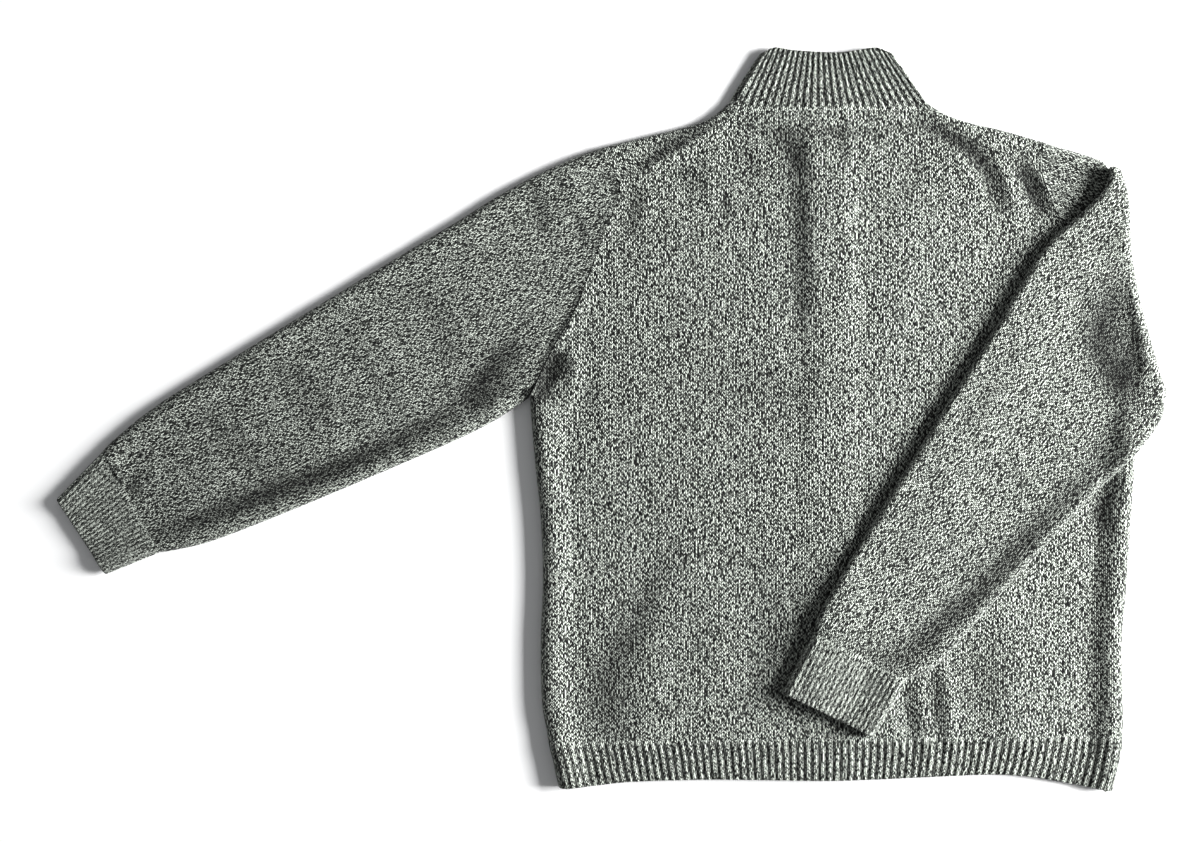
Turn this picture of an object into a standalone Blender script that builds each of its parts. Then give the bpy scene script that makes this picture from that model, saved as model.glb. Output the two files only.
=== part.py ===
"""A wool cardigan with ribbed trims, laid flat on its fronts with the right sleeve folded over the back.

Every panel is a wall of knitted cloth, closed all round. Plan sizes are millimetres in the garment's own
frame: x from the centre back, y up from the hem towards the collar, z up from the surface it lies on.
The lower layer (fronts, underside of the sleeves) rests on that surface, the upper layer lies on it.
"""

import math
from collections import namedtuple

import bmesh
import bpy
import numpy as np

MM = 0.001                      # metres in a millimetre
MIDDLE = (-222.61, 366.07)       # the laid garment's middle in the garment's frame: the part's origin

CLOTH = 2.8                     # thickness of the knitted wall
AIR = 0.7                       # air between two layers that lie on each other
SEAM = 0.3                      # gap left between two pieces at a seam
SIDE_ROUND = 3.1                # radius of the cloth's middle where it turns at the body's sides
EDGE_ROUND = 2.6                # the same at the shoulders, sleeves, cuffs and collar
FOLDED_ROUND = 3.3              # the same along the folded sleeve, which is puffed up
SIDE_ROLL = 18.0                # how far in from the turn the raised roll dies away

FLOOR = CLOTH / 2                               # middle of the lower wall
SPREAD = (CLOTH + AIR) / 2                      # half the distance between the two walls' middles
UPPER = FLOOR + 2 * SPREAD                      # middle of the upper wall where it lies flat

ARMPIT_Y = 387.0
HEM_SEAM_Y = 47.0
HEM_SEAM_SLOPE = 0.012
CENTRE_HEM_X = 1.5              # the fronts' meeting line at the hem and at the neck
CENTRE_NECK_X = -6.0
FRONT_NECK_Y = 600.0

HEM_REACH = 286.0               # the body's half width at the hem

HEM_RIBS = 75                   # knit ribs across the back of the hem
COLLAR_RIBS = 27
CUFF_RIBS = 18
RIB_CREST = (0.36, 0.64)        # where a rib's crest starts and ends, as shares of its width
RIB_RAISE = 0.9                 # height of a rib over the furrow beside it

# Body outline: height above the hem, x of the left side, x of the right side
BODY_SIDES = [
    (-8, -273, 276), (10, -278, 281), (25, -281, 284), (40, -285, 287), (55, -287, 288), (85, -292, 288),
    (145, -293, 287), (205, -291, 292), (265, -293, 296), (325, -299, 300), (387, -304, 304),
]
# Lower edge of the hem, seen from the back: x, y
HEM_EDGE = [(-273, -2), (-239, 0), (-199, 4), (-119, 6), (1, 5), (101, 9), (161, 11), (201, 8), (241, 1),
            (276, -5)]

# Seams and edges of the left and right halves, each from the neck or shoulder outwards or down: x, y
LEFT_ARMHOLE = [(-231, 637), (-226, 618), (-218, 607), (-214, 599), (-217, 581), (-228, 555), (-248, 501),
                (-263, 466), (-282, 434), (-304, 387)]
RIGHT_ARMHOLE = [(208, 643), (207, 623), (207, 607), (211, 597), (221, 572), (232, 545), (250, 495),
                 (264, 466), (283, 434), (304, 387)]
ARMHOLE_MEETS_SEAM = 3          # the point of each armhole where the back-shoulder seam ends
CORNER_SHARE = 0.16             # its place as a share of the way from the shoulder to the armpit
LEFT_SHOULDER = [(-105, 682), (-119, 670), (-139, 660), (-179, 650), (-231, 637)]
RIGHT_SHOULDER = [(91, 683), (112, 670), (139, 661), (166, 655), (208, 643)]
LEFT_SHOULDER_SEAM = [(-96, 673), (-111, 663), (-134, 647), (-174, 623), (-214, 599)]
RIGHT_SHOULDER_SEAM = [(93, 674), (115, 652), (150, 638), (192, 619), (211, 597)]
BACK_NECK = [(-96, 673), (93, 674)]
LEFT_NECKLINE = [(-6, 600), (-45, 608), (-80, 636), (-98, 668)]
RIGHT_NECKLINE = [(-6, 600), (33, 608), (68, 636), (86, 668)]

# Collar as it lies: its upper edge at the back and at the front
COLLAR_TOP = [(-74, 731), (-59, 737), (-39, 734), (1, 732), (21, 734), (41, 737), (58, 731)]
LEFT_COLLAR_TOP = [(-6, 660), (-35, 668), (-58, 694), (-70, 728)]
RIGHT_COLLAR_TOP = [(-6, 660), (23, 668), (44, 694), (54, 728)]

# Left sleeve: its upper and lower edge from the armhole to the cuff
LEFT_UPPER_EDGE = [(-231, 637), (-259, 627), (-299, 609), (-339, 587), (-379, 562), (-459, 514), (-619, 416),
                   (-679, 378), (-719, 346), (-730, 335)]
LEFT_LOWER_EDGE = [(-304, 387), (-339, 364), (-379, 344), (-439, 318), (-539, 276), (-619, 245), (-659, 235),
                   (-674, 233)]
LEFT_CUFF_END = [(-777, 286), (-728, 211)]

# Right sleeve: the upper edge of what lies flat, the outside of the fold, the edges of what is folded over
RIGHT_UPPER_EDGE = [(208, 643), (217, 640), (266, 625), (281, 618)]
FOLD_OUTSIDE = [(281, 618), (290, 597), (294, 572), (295, 539), (300, 505), (307, 473), (315, 445),
                (325, 410), (332, 387)]
FOLD_RADIUS = 4.75              # radius of the middle between the sleeve's two walls at the fold
FOLDED_LEFT_EDGE = [(273, 616), (264, 592), (246, 573), (203, 531), (156, 453), (100, 365), (16, 230),
                    (-17, 173), (-22, 155)]
FOLDED_RIGHT_EDGE = [(324, 385), (325, 370), (305, 340), (280, 314), (244, 278), (166, 194), (111, 132),
                     (94, 117), (71, 107)]
RIGHT_CUFF_END = [(-53, 94), (38, 50)]
REST_ON_BACK = 6.9              # underside of the folded sleeve over the flat of the back
REST_ON_SIDE = 9.5              # and over the raised roll of the body's side
CLIMB = (215.0, 275.0)          # x where the underside starts and ends its climb
ARMPIT_CLEARANCE = 3.0          # how far from the armpit the sleeves' lower edges start

# Soft crowns of the upper layer: a ridge line's ends, its half width and its height
Crown = namedtuple("Crown", "x0 y0 x1 y1 width height")
CROWNS = [
    Crown(-330, 530, -660, 325, 34, 1.5),       # the left sleeve's middle
    Crown(-270, 400, -272, 300, 12, 1.2),       # below the left armhole
    Crown(18, 640, 22, 330, 14, 0.9),           # over the fronts' meeting edges
    Crown(-190, 600, -150, 500, 40, 0.8),       # the left shoulder blade
    Crown(215, 175, 228, 85, 22, 1.3),          # between the folded sleeve and the hem
]

TRIM_GREY = (0.17, 0.18, 0.17)
WOOL_GREY = (0.22, 0.23, 0.22)


# ---- plan curves ---------------------------------------------------------------------------------------

SPLINE_STEPS = 8                # steps between two points of a table
LINE_POINTS = 25                # points on a line across a sleeve
HEADING_STEP = 0.02             # share of a curve over which its direction is taken


def spline(points):
    """A smooth line through the points, with the same number of steps between each pair."""
    p = np.array(points, float)
    p = np.vstack([2 * p[0] - p[1], p, 2 * p[-1] - p[-2]])
    t = np.linspace(0, 1, SPLINE_STEPS, endpoint=False)[:, None]
    spans = []
    for a, b, c, d in zip(p, p[1:], p[2:], p[3:]):
        spans.append(b + (c - a) * t / 2 + (2 * a - 5 * b + 4 * c - d) * t ** 2 / 2
                     + (3 * b - a - 3 * c + d) * t ** 3 / 2)
    return np.vstack(spans + [p[-2:-1]])


def run(curve):
    """Distance from the curve's start to each of its points."""
    return np.concatenate([[0], np.cumsum(np.linalg.norm(np.diff(curve, axis=0), axis=1))])


def at(curve, fractions):
    """Points at these fractions of a curve's length."""
    length = run(curve)
    where = np.asarray(fractions, float) * length[-1]
    return np.stack([np.interp(where, length, curve[:, i]) for i in range(2)], axis=-1)


def headings(curve):
    """Unit direction of travel at each point."""
    step = np.gradient(curve, axis=0)
    return step / np.linalg.norm(step, axis=1)[:, None]


def aside(curve, distance):
    """The curve moved to the left of its direction of travel."""
    way = headings(curve)
    return curve + distance * np.stack([-way[:, 1], way[:, 0]], axis=1)


def unit(vector):
    return np.asarray(vector, float) / np.linalg.norm(vector)


def fill_row(low, high, start, end, s):
    """One row between two rows of points, bent so that it starts and ends at given points."""
    row = (1 - s) * low + s * high
    share = (run(row) / run(row)[-1])[:, None]
    return row + (1 - share) * (start - row[0]) + share * (end - row[-1])


def smooth_step(value, start, end):
    t = np.clip((np.asarray(value, float) - start) / (end - start), 0, 1)
    return t * t * (3 - 2 * t)


# ---- heights of the upper layer ------------------------------------------------------------------------

def crowns(x, y):
    """Height that the soft crowns add to the upper layer."""
    total = np.zeros_like(np.asarray(x, float))
    for c in CROWNS:
        way = np.array([c.x1 - c.x0, c.y1 - c.y0])
        t = np.clip(((x - c.x0) * way[0] + (y - c.y0) * way[1]) / way.dot(way), 0, 1)
        off = np.hypot(x - c.x0 - t * way[0], y - c.y0 - t * way[1])
        total = total + c.height * np.exp(-(off / c.width) ** 2)
    return total


def roll(distance, radius):
    """Half the distance between the walls, this far in from where a turned edge becomes level."""
    return SPREAD + (radius - SPREAD) * (1 - smooth_step(distance, 0, SIDE_ROLL))


SIDES = np.array(BODY_SIDES, float)
LEFT_SIDE = spline(SIDES[:, [1, 0]])
RIGHT_SIDE = spline(SIDES[:, [2, 0]])
HEM_LINE = spline(HEM_EDGE)


ROLL_FADE = 40.0                # how far above the armpit the sides' raised roll has died away


def side_x(y, edge):
    return np.interp(y, edge[:, 1], edge[:, 0])


def upper_height(x, y):
    """Middle of the back's wall at a place on the body."""
    inset = CLOTH / 2 + SIDE_ROUND
    reach = np.minimum(x - side_x(y, LEFT_SIDE), side_x(y, RIGHT_SIDE) - x) - inset
    above = smooth_step(y, ARMPIT_Y, ARMPIT_Y + ROLL_FADE)
    rolled = (roll(reach, SIDE_ROUND) - SPREAD) * (1 - above)
    return FLOOR + 2 * (SPREAD + rolled) + crowns(x, y)


def hem_seam(x):
    return HEM_SEAM_Y + HEM_SEAM_SLOPE * np.asarray(x, float)


def hem_edge(x):
    return np.interp(x, HEM_LINE[:, 0], HEM_LINE[:, 1])


# ---- walls ---------------------------------------------------------------------------------------------

SHARP_ANGLE = math.radians(40)  # edges that turn by more than this are drawn sharp


def material(name, colour):
    mat = bpy.data.materials.new(name)
    mat.use_nodes = True
    shader = mat.node_tree.nodes["Principled BSDF"]
    shader.inputs["Base Color"].default_value = (*colour, 1)
    shader.inputs["Roughness"].default_value = 0.95
    shader.inputs["Metallic"].default_value = 0.0
    return mat


def wall(name, middle, facing, colour, ribs=None, ring=False):
    """A closed wall of cloth. middle: rows of points in its middle; facing: its outward direction there;
    ribs: extra height of the outer face. A ring's last column joins its first."""
    middle = np.asarray(middle, float)
    raised = np.zeros(middle.shape[:2]) if ribs is None else np.asarray(ribs, float)
    outer = middle + facing * (CLOTH / 2 + raised)[..., None]
    inner = middle - facing * (CLOTH / 2)
    rows, cols = middle.shape[:2]
    points = np.concatenate([outer.reshape(-1, 3), inner.reshape(-1, 3)])
    points[:, 0] -= MIDDLE[0]
    points[:, 1] -= MIDDLE[1]

    def index(side, row, col):
        return side * rows * cols + row * cols + col % cols

    faces = []
    for r in range(rows - 1):
        for c in range(cols if ring else cols - 1):
            corners = [(r, c), (r, c + 1), (r + 1, c + 1), (r + 1, c)]
            faces.append([index(0, *k) for k in corners])
            faces.append([index(1, *k) for k in reversed(corners)])
    for c in range(cols if ring else cols - 1):
        for r, (a, b) in ((0, (c + 1, c)), (rows - 1, (c, c + 1))):
            faces.append([index(0, r, a), index(0, r, b), index(1, r, b), index(1, r, a)])
    if not ring:
        for r in range(rows - 1):
            for c, (a, b) in ((0, (r, r + 1)), (cols - 1, (r + 1, r))):
                faces.append([index(0, a, c), index(0, b, c), index(1, b, c), index(1, a, c)])

    mesh = bpy.data.meshes.new(name)
    mesh.from_pydata((points * MM).tolist(), [], faces)
    shape = bmesh.new()
    shape.from_mesh(mesh)
    bmesh.ops.recalc_face_normals(shape, faces=shape.faces)
    shape.to_mesh(mesh)
    shape.free()
    mesh.shade_smooth()
    mesh.set_sharp_from_angle(angle=SHARP_ANGLE)
    mesh.materials.append(material(name, colour))
    obj = bpy.data.objects.new(name, mesh)
    bpy.context.scene.collection.objects.link(obj)
    return obj


def turn(edge, inward, radius, angle):
    """A point of a turned edge: its place and outward direction, the angle being 90 degrees on top."""
    reach = CLOTH / 2 + radius * (1 - math.cos(angle))
    place = np.array([*(edge + np.asarray(inward) * reach), FLOOR + radius + radius * math.sin(angle)])
    outward = np.array([*(-np.asarray(inward) * math.cos(angle)), math.sin(angle)])
    return place, outward


def rib_columns(count):
    """Fractions of the way across, and the height there, for ribs of a furrow and two crests each."""
    shares = []
    heights = []
    for k in range(count):
        shares += [k, k + RIB_CREST[0], k + RIB_CREST[1]]
        heights += [0, RIB_RAISE, RIB_RAISE]
    return np.array(shares + [count]) / count, np.array(heights + [0])


# ---- back and fronts -----------------------------------------------------------------------------------

SIDE_GAP = SEAM / 2 / SIDE_ROUND                # half a seam as an angle of the side's turn
SIDE_TURN = [SIDE_GAP, math.radians(30), math.radians(60), math.radians(90)]
ROLL_COLUMNS = [6.0, 18.0]                      # columns on the raised roll, from the turn inwards


def back_row(y_left, y_right, inner):
    """One row of the back below the armpits. inner: shares of the way for the columns between the rolls."""
    left = np.array([side_x(y_left, LEFT_SIDE), y_left])
    right = np.array([side_x(y_right, RIGHT_SIDE), y_right])
    start = [turn(left, (1, 0), SIDE_ROUND, a) for a in SIDE_TURN]
    end = [turn(right, (-1, 0), SIDE_ROUND, a) for a in reversed(SIDE_TURN)]
    first, last = start[-1][0][0], end[0][0][0]
    xs = [first + d for d in ROLL_COLUMNS]
    low, high = xs[-1], last - ROLL_COLUMNS[-1]
    xs += [low + (high - low) * s for s in inner]
    xs += [last - d for d in reversed(ROLL_COLUMNS)]
    xs = np.array(xs)
    ys = y_left + (y_right - y_left) * (xs - left[0]) / (right[0] - left[0])
    flat = np.stack([xs, ys, upper_height(xs, ys)], axis=1)
    up = np.tile([0.0, 0.0, 1.0], (len(xs), 1))
    middle = np.vstack([[p for p, _ in start], flat, [p for p, _ in end]])
    facing = np.vstack([[n for _, n in start], up, [n for _, n in end]])
    return middle, facing


BACK_INNER = np.array([0.11, 0.23, 0.36, 0.46, 0.5, 0.54, 0.58, 0.66, 0.78, 0.89])
BACK_LOW_ROWS = np.linspace(0, 1, 7)
BACK_HIGH_ROWS = [0.05, 0.13, 0.24, 0.36, 0.5, 0.64, 0.78, 0.9, 1.0]
SHOULDER_COLUMNS = 10                           # columns that meet along each back-shoulder seam


def armhole(points, clear):
    """The part of an armhole below the back-shoulder seam, from the armpit up, moved clear of the seam."""
    curve = spline(points)
    first = SPLINE_STEPS * ARMHOLE_MEETS_SEAM
    return aside(curve[first:], clear)[::-1]


def make_back():
    rows = []
    for share in BACK_LOW_ROWS:
        ends = [(1 - share) * (hem_seam(x) + SEAM / 2) + share * ARMPIT_Y for x in (-HEM_REACH, HEM_REACH)]
        rows.append(back_row(*ends, BACK_INNER))
    low = rows[-1][0][:, :2]
    count = len(low)
    seam_left = aside(spline(LEFT_SHOULDER_SEAM), SEAM / 2)[::-1]
    seam_right = aside(spline(RIGHT_SHOULDER_SEAM), -SEAM / 2)
    neck = spline(BACK_NECK) + (0, -SEAM / 2)
    each = np.linspace(0, 1, SHOULDER_COLUMNS)
    high = np.vstack([at(seam_left, each)[:-1],
                      at(neck, np.linspace(0, 1, count - 2 * SHOULDER_COLUMNS + 2)),
                      at(seam_right, each)[1:]])
    left = armhole(LEFT_ARMHOLE, SEAM / 2)
    right = armhole(RIGHT_ARMHOLE, -SEAM / 2)
    for share in BACK_HIGH_ROWS:
        start = at(left, share) if share < 1 else high[0]
        end = at(right, share) if share < 1 else high[-1]
        plan = fill_row(low, high, start, end, share)
        z = upper_height(plan[:, 0], plan[:, 1])
        rows.append((np.column_stack([plan, z]), np.tile([0.0, 0.0, 1.0], (count, 1))))
    wall("back", [m for m, _ in rows], np.array([f for _, f in rows]), WOOL_GREY)


Half = namedtuple("Half", "sign side armhole shoulder seam neckline collar_top")
LEFT = Half(-1, LEFT_SIDE, LEFT_ARMHOLE, LEFT_SHOULDER, LEFT_SHOULDER_SEAM, LEFT_NECKLINE, LEFT_COLLAR_TOP)
RIGHT = Half(1, RIGHT_SIDE, RIGHT_ARMHOLE, RIGHT_SHOULDER, RIGHT_SHOULDER_SEAM, RIGHT_NECKLINE,
             RIGHT_COLLAR_TOP)
FRONT_SHARES = [0, 0.2, 0.4, 0.6, 0.8, 0.93]    # columns of a front before its turned side
FRONT_CENTRE_ROWS = [0.2, 0.5, 0.8]             # rows between the armpit and the foot of the neckline
CORNER_ROW = -3                                 # the row that ends at the armhole's corner
NECKLINE_STEPS = np.linspace(0, 1, 7)           # where the fronts' rows and the collar's columns meet
SHOULDER_TURN = [math.radians(a) for a in (-90, -45, 0, 45, 90)]
FLAP_MIDDLE = 0.55              # where the row between the shoulder's turn and its seam meets the armhole


def centre_x(y):
    return CENTRE_HEM_X + (CENTRE_NECK_X - CENTRE_HEM_X) * y / FRONT_NECK_Y


def front_row(half, y_side, y_centre):
    """One row of a front from the centre edge to the side seam, below the armpit."""
    side = np.array([side_x(y_side, half.side), y_side])
    turned = [turn(side, (-half.sign, 0), SIDE_ROUND, -a) for a in reversed(SIDE_TURN)]
    centre = centre_x(y_centre) + half.sign * SEAM / 2
    xs = centre + (turned[0][0][0] - centre) * np.array(FRONT_SHARES)
    ys = y_centre + (y_side - y_centre) * (xs - centre) / (side[0] - centre)
    flat = np.column_stack([xs, ys, np.full(len(xs), FLOOR)])
    middle = np.vstack([flat, [p for p, _ in turned]])
    facing = np.vstack([np.tile([0.0, 0.0, -1.0], (len(xs), 1)), [n for _, n in turned]])
    return middle, facing


def shoulder_lines(half, count):
    """Where a front turns over the shoulder: outline points, inward directions and the seam's points."""
    shares = np.linspace(0, 1, count)
    outline = at(spline(half.shoulder), shares)
    seam = at(aside(spline(half.seam), half.sign * SEAM / 2), shares)
    hole = aside(spline(half.armhole), -half.sign * SEAM / 2)
    outline[-1] = hole[0]
    outline[0, 0] += half.sign * SEAM / 2
    seam[0, 0] += half.sign * SEAM / 2
    seam[-1] = hole[SPLINE_STEPS * ARMHOLE_MEETS_SEAM]
    inward = (seam - outline) / np.linalg.norm(seam - outline, axis=1)[:, None]
    inward[-1] = headings(hole)[0]
    return outline, inward, seam, hole


def make_front(half, name):
    rows = []
    for share in BACK_LOW_ROWS:
        sides = (1 - share) * (hem_seam(half.sign * HEM_REACH) + SEAM / 2) + share * ARMPIT_Y
        middle = (1 - share) * (hem_seam(0) + SEAM / 2) + share * ARMPIT_Y
        rows.append(front_row(half, sides, middle))
    low = rows[-1][0][:, :2]
    count = len(low)
    outline, inward, seam, hole = shoulder_lines(half, count)
    high = outline + inward * (CLOTH / 2 + EDGE_ROUND)
    corner = SPLINE_STEPS * ARMHOLE_MEETS_SEAM
    outer = np.vstack([high[-1:], hole[corner:]])[::-1]
    neck = at(aside(spline(half.neckline), -half.sign * SEAM / 2), NECKLINE_STEPS)
    neck[0, 0] = centre_x(FRONT_NECK_Y) + half.sign * SEAM / 2
    neck[-1] = high[0]
    down = np.tile([0.0, 0.0, -1.0], (count, 1))
    foot = run(np.vstack([low[:1], neck]))
    foot = foot[1] / foot[-1]
    starts = [((1 - s) * low[0] + s * neck[0], foot * s) for s in FRONT_CENTRE_ROWS]
    starts += [(point, foot + (1 - foot) * s) for point, s in zip(neck, NECKLINE_STEPS)]
    corner_row = starts[CORNER_ROW][1]
    for start, share in starts:
        along = np.interp(share, [0, corner_row, 1], [0, 1 - CORNER_SHARE, 1])
        plan = fill_row(low, high, start, at(outer, along), share)
        rows.append((np.column_stack([plan, np.full(count, FLOOR)]), down))
    for angle in SHOULDER_TURN[1:]:
        turned = [turn(edge, way, EDGE_ROUND, angle) for edge, way in zip(outline, inward)]
        rows.append((np.array([p for p, _ in turned]), np.array([n for _, n in turned])))
    top = rows[-1][0]
    hole_half = at(hole[:corner + 1], FLAP_MIDDLE)
    for share in (0.5, 1.0):
        plan = (1 - share) * top[:, :2] + share * seam
        if share < 1:
            plan = fill_row(plan, plan, plan[0], hole_half, 0)
        z = (1 - share) * top[:, 2] + share * (UPPER + crowns(plan[:, 0], plan[:, 1]))
        rows.append((np.column_stack([plan, z]), np.tile([0.0, 0.0, 1.0], (count, 1))))
    wall(name, [m for m, _ in rows], np.array([f for _, f in rows]), WOOL_GREY)


# ---- hem and collar ------------------------------------------------------------------------------------

def make_hem_back():
    shares, heights = rib_columns(HEM_RIBS)
    rows = []
    for y_of in (hem_edge, lambda x: hem_seam(x) - SEAM / 2):
        left_y, right_y = y_of(-HEM_REACH), y_of(HEM_REACH)
        left = np.array([side_x(left_y, LEFT_SIDE), left_y])
        right = np.array([side_x(right_y, RIGHT_SIDE), right_y])
        start = [turn(left, (1, 0), SIDE_ROUND, a) for a in SIDE_TURN[:-1]]
        end = [turn(right, (-1, 0), SIDE_ROUND, a) for a in reversed(SIDE_TURN[:-1])]
        inset = CLOTH / 2 + SIDE_ROUND
        xs = left[0] + inset + (right[0] - left[0] - 2 * inset) * shares
        ys = y_of(xs)
        flat = np.column_stack([xs, ys, upper_height(xs, ys)])
        middle = np.vstack([[p for p, _ in start], flat, [p for p, _ in end]])
        up = np.tile([0.0, 0.0, 1.0], (len(xs), 1))
        facing = np.vstack([[n for _, n in start], up, [n for _, n in end]])
        rows.append((middle, facing))
    plain = np.zeros(len(SIDE_TURN) - 1)
    ribs = np.tile(np.concatenate([plain, heights, plain]), (2, 1))
    wall("hem_back", [m for m, _ in rows], np.array([f for _, f in rows]), TRIM_GREY, ribs=ribs)


def make_hem_front(half, name):
    edge = half.sign * HEM_REACH
    low = front_row(half, hem_edge(edge), hem_edge(0))
    low[0][:len(FRONT_SHARES), 1] = hem_edge(low[0][:len(FRONT_SHARES), 0])
    high = front_row(half, hem_seam(edge) - SEAM / 2, hem_seam(0) - SEAM / 2)
    wall(name, [low[0], high[0]], np.array([low[1], high[1]]), TRIM_GREY)


def collar_half(half):
    """The collar's columns on the surface, from the centre front to the side: base and top points."""
    base = at(aside(spline(half.neckline), half.sign * SEAM / 2), NECKLINE_STEPS)
    top = at(spline(half.collar_top), NECKLINE_STEPS)
    base[0, 0] = centre_x(FRONT_NECK_Y) + half.sign * SEAM
    top[0, 0] = base[0, 0]
    return base, top


def make_collar():
    shares, heights = rib_columns(COLLAR_RIBS)
    neck = spline(BACK_NECK) + (0, SEAM / 2)
    columns = []                # base, top, facing and rib height, column after column round the neck
    turns = {}
    for half, corner in ((LEFT, COLLAR_TOP[0]), (RIGHT, COLLAR_TOP[-1])):
        foot = np.array(half.shoulder[0], float)
        foot[0] -= half.sign * SEAM / 2
        seam_end = np.array(half.seam[0], float)
        low_way = unit(seam_end - foot)
        rise = np.array(corner, float) - foot
        high_way = unit(np.array([rise[1], -rise[0]]) * -half.sign)
        turned = []
        for angle in SHOULDER_TURN:
            base, low_face = turn(foot, low_way, EDGE_ROUND, angle)
            top, high_face = turn(np.array(corner, float), high_way, EDGE_ROUND, angle)
            turned.append((base, top, low_face, high_face, 0.0))
        turns[half.sign] = turned
    down = np.array([0.0, 0.0, -1.0])

    def floor_columns(half):
        base, top = collar_half(half)
        return [(np.array([*b, FLOOR]), np.array([*t, FLOOR]), down, down, 0.0)
                for b, t in zip(base[:-1], top[:-1])]

    columns += floor_columns(LEFT)
    columns += turns[-1][:-1]
    start, end = turns[-1][-1], turns[1][-1]
    low_line = np.vstack([start[0][:2], neck, end[0][:2]])
    high_line = spline([start[1][:2], *COLLAR_TOP[1:-1], end[1][:2]])
    low = at(low_line, shares)
    high = at(high_line, shares)
    up = np.array([0.0, 0.0, 1.0])
    for b, t, share, height in zip(low, high, shares, heights):
        width = run(low_line)[-1]
        reach = min(share, 1 - share) * width
        z = FLOOR + 2 * roll(reach, EDGE_ROUND)
        columns.append((np.array([*b, z]), np.array([*t, z]), up, up, height))
    columns += list(reversed(turns[1][:-1]))
    columns += list(reversed(floor_columns(RIGHT)))
    rows = []
    for share in (0, 0.5, 1):
        middle = [(1 - share) * b + share * t for b, t, _, _, _ in columns]
        facing = [unit((1 - share) * lf + share * hf) for _, _, lf, hf, _ in columns]
        rows.append((middle, facing))
    ribs = np.array([[c[4] for c in columns]] * 3)
    wall("collar", [m for m, _ in rows], np.array([f for _, f in rows]), TRIM_GREY, ribs=ribs)


# ---- sleeves and cuffs ---------------------------------------------------------------------------------

# A flattened ring of the sleeve: its line in plan from the upper to the lower edge, how far each end is
# skewed from square, the direction of its upper wall, the side it bulges to, its radius at the edges
Ring = namedtuple("Ring", "line skew_a skew_b up bulge radius height")
EDGE_TURN = [math.radians(a) for a in (0, 35, 65, 90)]
TOP_SHARES = np.array([0.1, 0.19, 0.36, 0.57, 0.78])        # columns between the rolls, upper wall
LOW_SHARES = np.array([0.2, 0.5, 1 - CORNER_SHARE])         # columns between the turns, lower wall
MIN_CROSSING = 0.45             # sine of the least angle at which a ring's line is taken to cross an edge


def flat_height(plan):
    return np.full(len(plan), FLOOR + SPREAD)


def ring_points(ring, top_shares=None, ribs=None):
    """Places and outward directions round one ring, and its ribs' heights."""
    length = run(ring.line)[-1]
    radius = ring.radius
    inset = CLOTH / 2 + radius
    start, end = inset * ring.skew_a, length - inset * ring.skew_b
    across = []                 # distance along the line, height, direction along, direction up, rib

    def turned(angle, at_start):
        skew = ring.skew_a if at_start else ring.skew_b
        reach = (CLOTH / 2 + radius * (1 - math.cos(angle))) * skew
        place = reach if at_start else length - reach
        way = -math.cos(angle) * skew if at_start else math.cos(angle) * skew
        return [place, radius * math.sin(angle), way, math.sin(angle), radius - SPREAD, 0.0]

    def level(place, sign, rib=0.0):
        half = max(roll((place - start) / ring.skew_a, radius), roll((end - place) / ring.skew_b, radius))
        return [place, sign * half, 0.0, sign, half - SPREAD, rib]

    across += [turned(a, True) for a in EDGE_TURN]
    if top_shares is None:
        rise = [start + d * ring.skew_a for d in ROLL_COLUMNS]
        fall = [end - d * ring.skew_b for d in reversed(ROLL_COLUMNS)]
        flat = rise[-1] + (fall[0] - rise[-1]) * TOP_SHARES
        across += [level(p, 1) for p in (*rise, *flat, *fall)]
    else:
        across += [level(start + (end - start) * s, 1, r) for s, r in zip(top_shares, ribs)]
    across += [turned(a, False) for a in reversed(EDGE_TURN)]
    across += [turned(-a, False) for a in EDGE_TURN[1:]]
    across += [level(end + (start - end) * s, -1) for s in LOW_SHARES]
    across += [turned(-a, True) for a in reversed(EDGE_TURN[1:])]

    across = np.array(across)
    plan = at(ring.line, across[:, 0] / length)
    ways = headings(ring.line)
    way = np.stack([np.interp(across[:, 0], run(ring.line), ways[:, i]) for i in range(2)], axis=1)
    up = np.asarray(ring.up, float)
    lift = across[:, 1] + ring.bulge * across[:, 4]
    places = np.column_stack([plan, ring.height(plan)]) + lift[:, None] * up
    facing = np.column_stack([way, np.zeros(len(way))]) * across[:, 2:3] + across[:, 3:4] * up
    return places, facing, across[:, 5]


def skew(line_way, edge_way):
    """How much longer a slanted cut through an edge is than a square one."""
    crossing = abs(line_way[0] * edge_way[1] - line_way[1] * edge_way[0])
    return 1 / max(crossing, MIN_CROSSING)


def straight(a, b):
    """A straight line in plan between two points."""
    share = np.linspace(0, 1, LINE_POINTS)[:, None]
    return (1 - share) * np.asarray(a, float) + share * np.asarray(b, float)


def bow_of(curve):
    """How far a curve lies from the straight line between its ends."""
    points = at(curve, np.linspace(0, 1, LINE_POINTS))
    return points - straight(points[0], points[-1])


def ring_between(a, b, bow, edge_a, edge_b, up=(0, 0, 1), bulge=1.0, radius=EDGE_ROUND, height=flat_height):
    line = straight(a, b) + bow
    way = headings(line)
    return Ring(line, skew(way[0], edge_a), skew(way[-1], edge_b), up, bulge, radius, height)


def heading_at(curve, share):
    low, high = at(curve, [max(share - HEADING_STEP, 0), min(share + HEADING_STEP, 1)])
    return unit(high - low)


def sleeve_wall(name, rings):
    built = [ring_points(r) for r in rings]
    wall(name, [p for p, _, _ in built], np.array([f for _, f, _ in built]), WOOL_GREY, ring=True)


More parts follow.
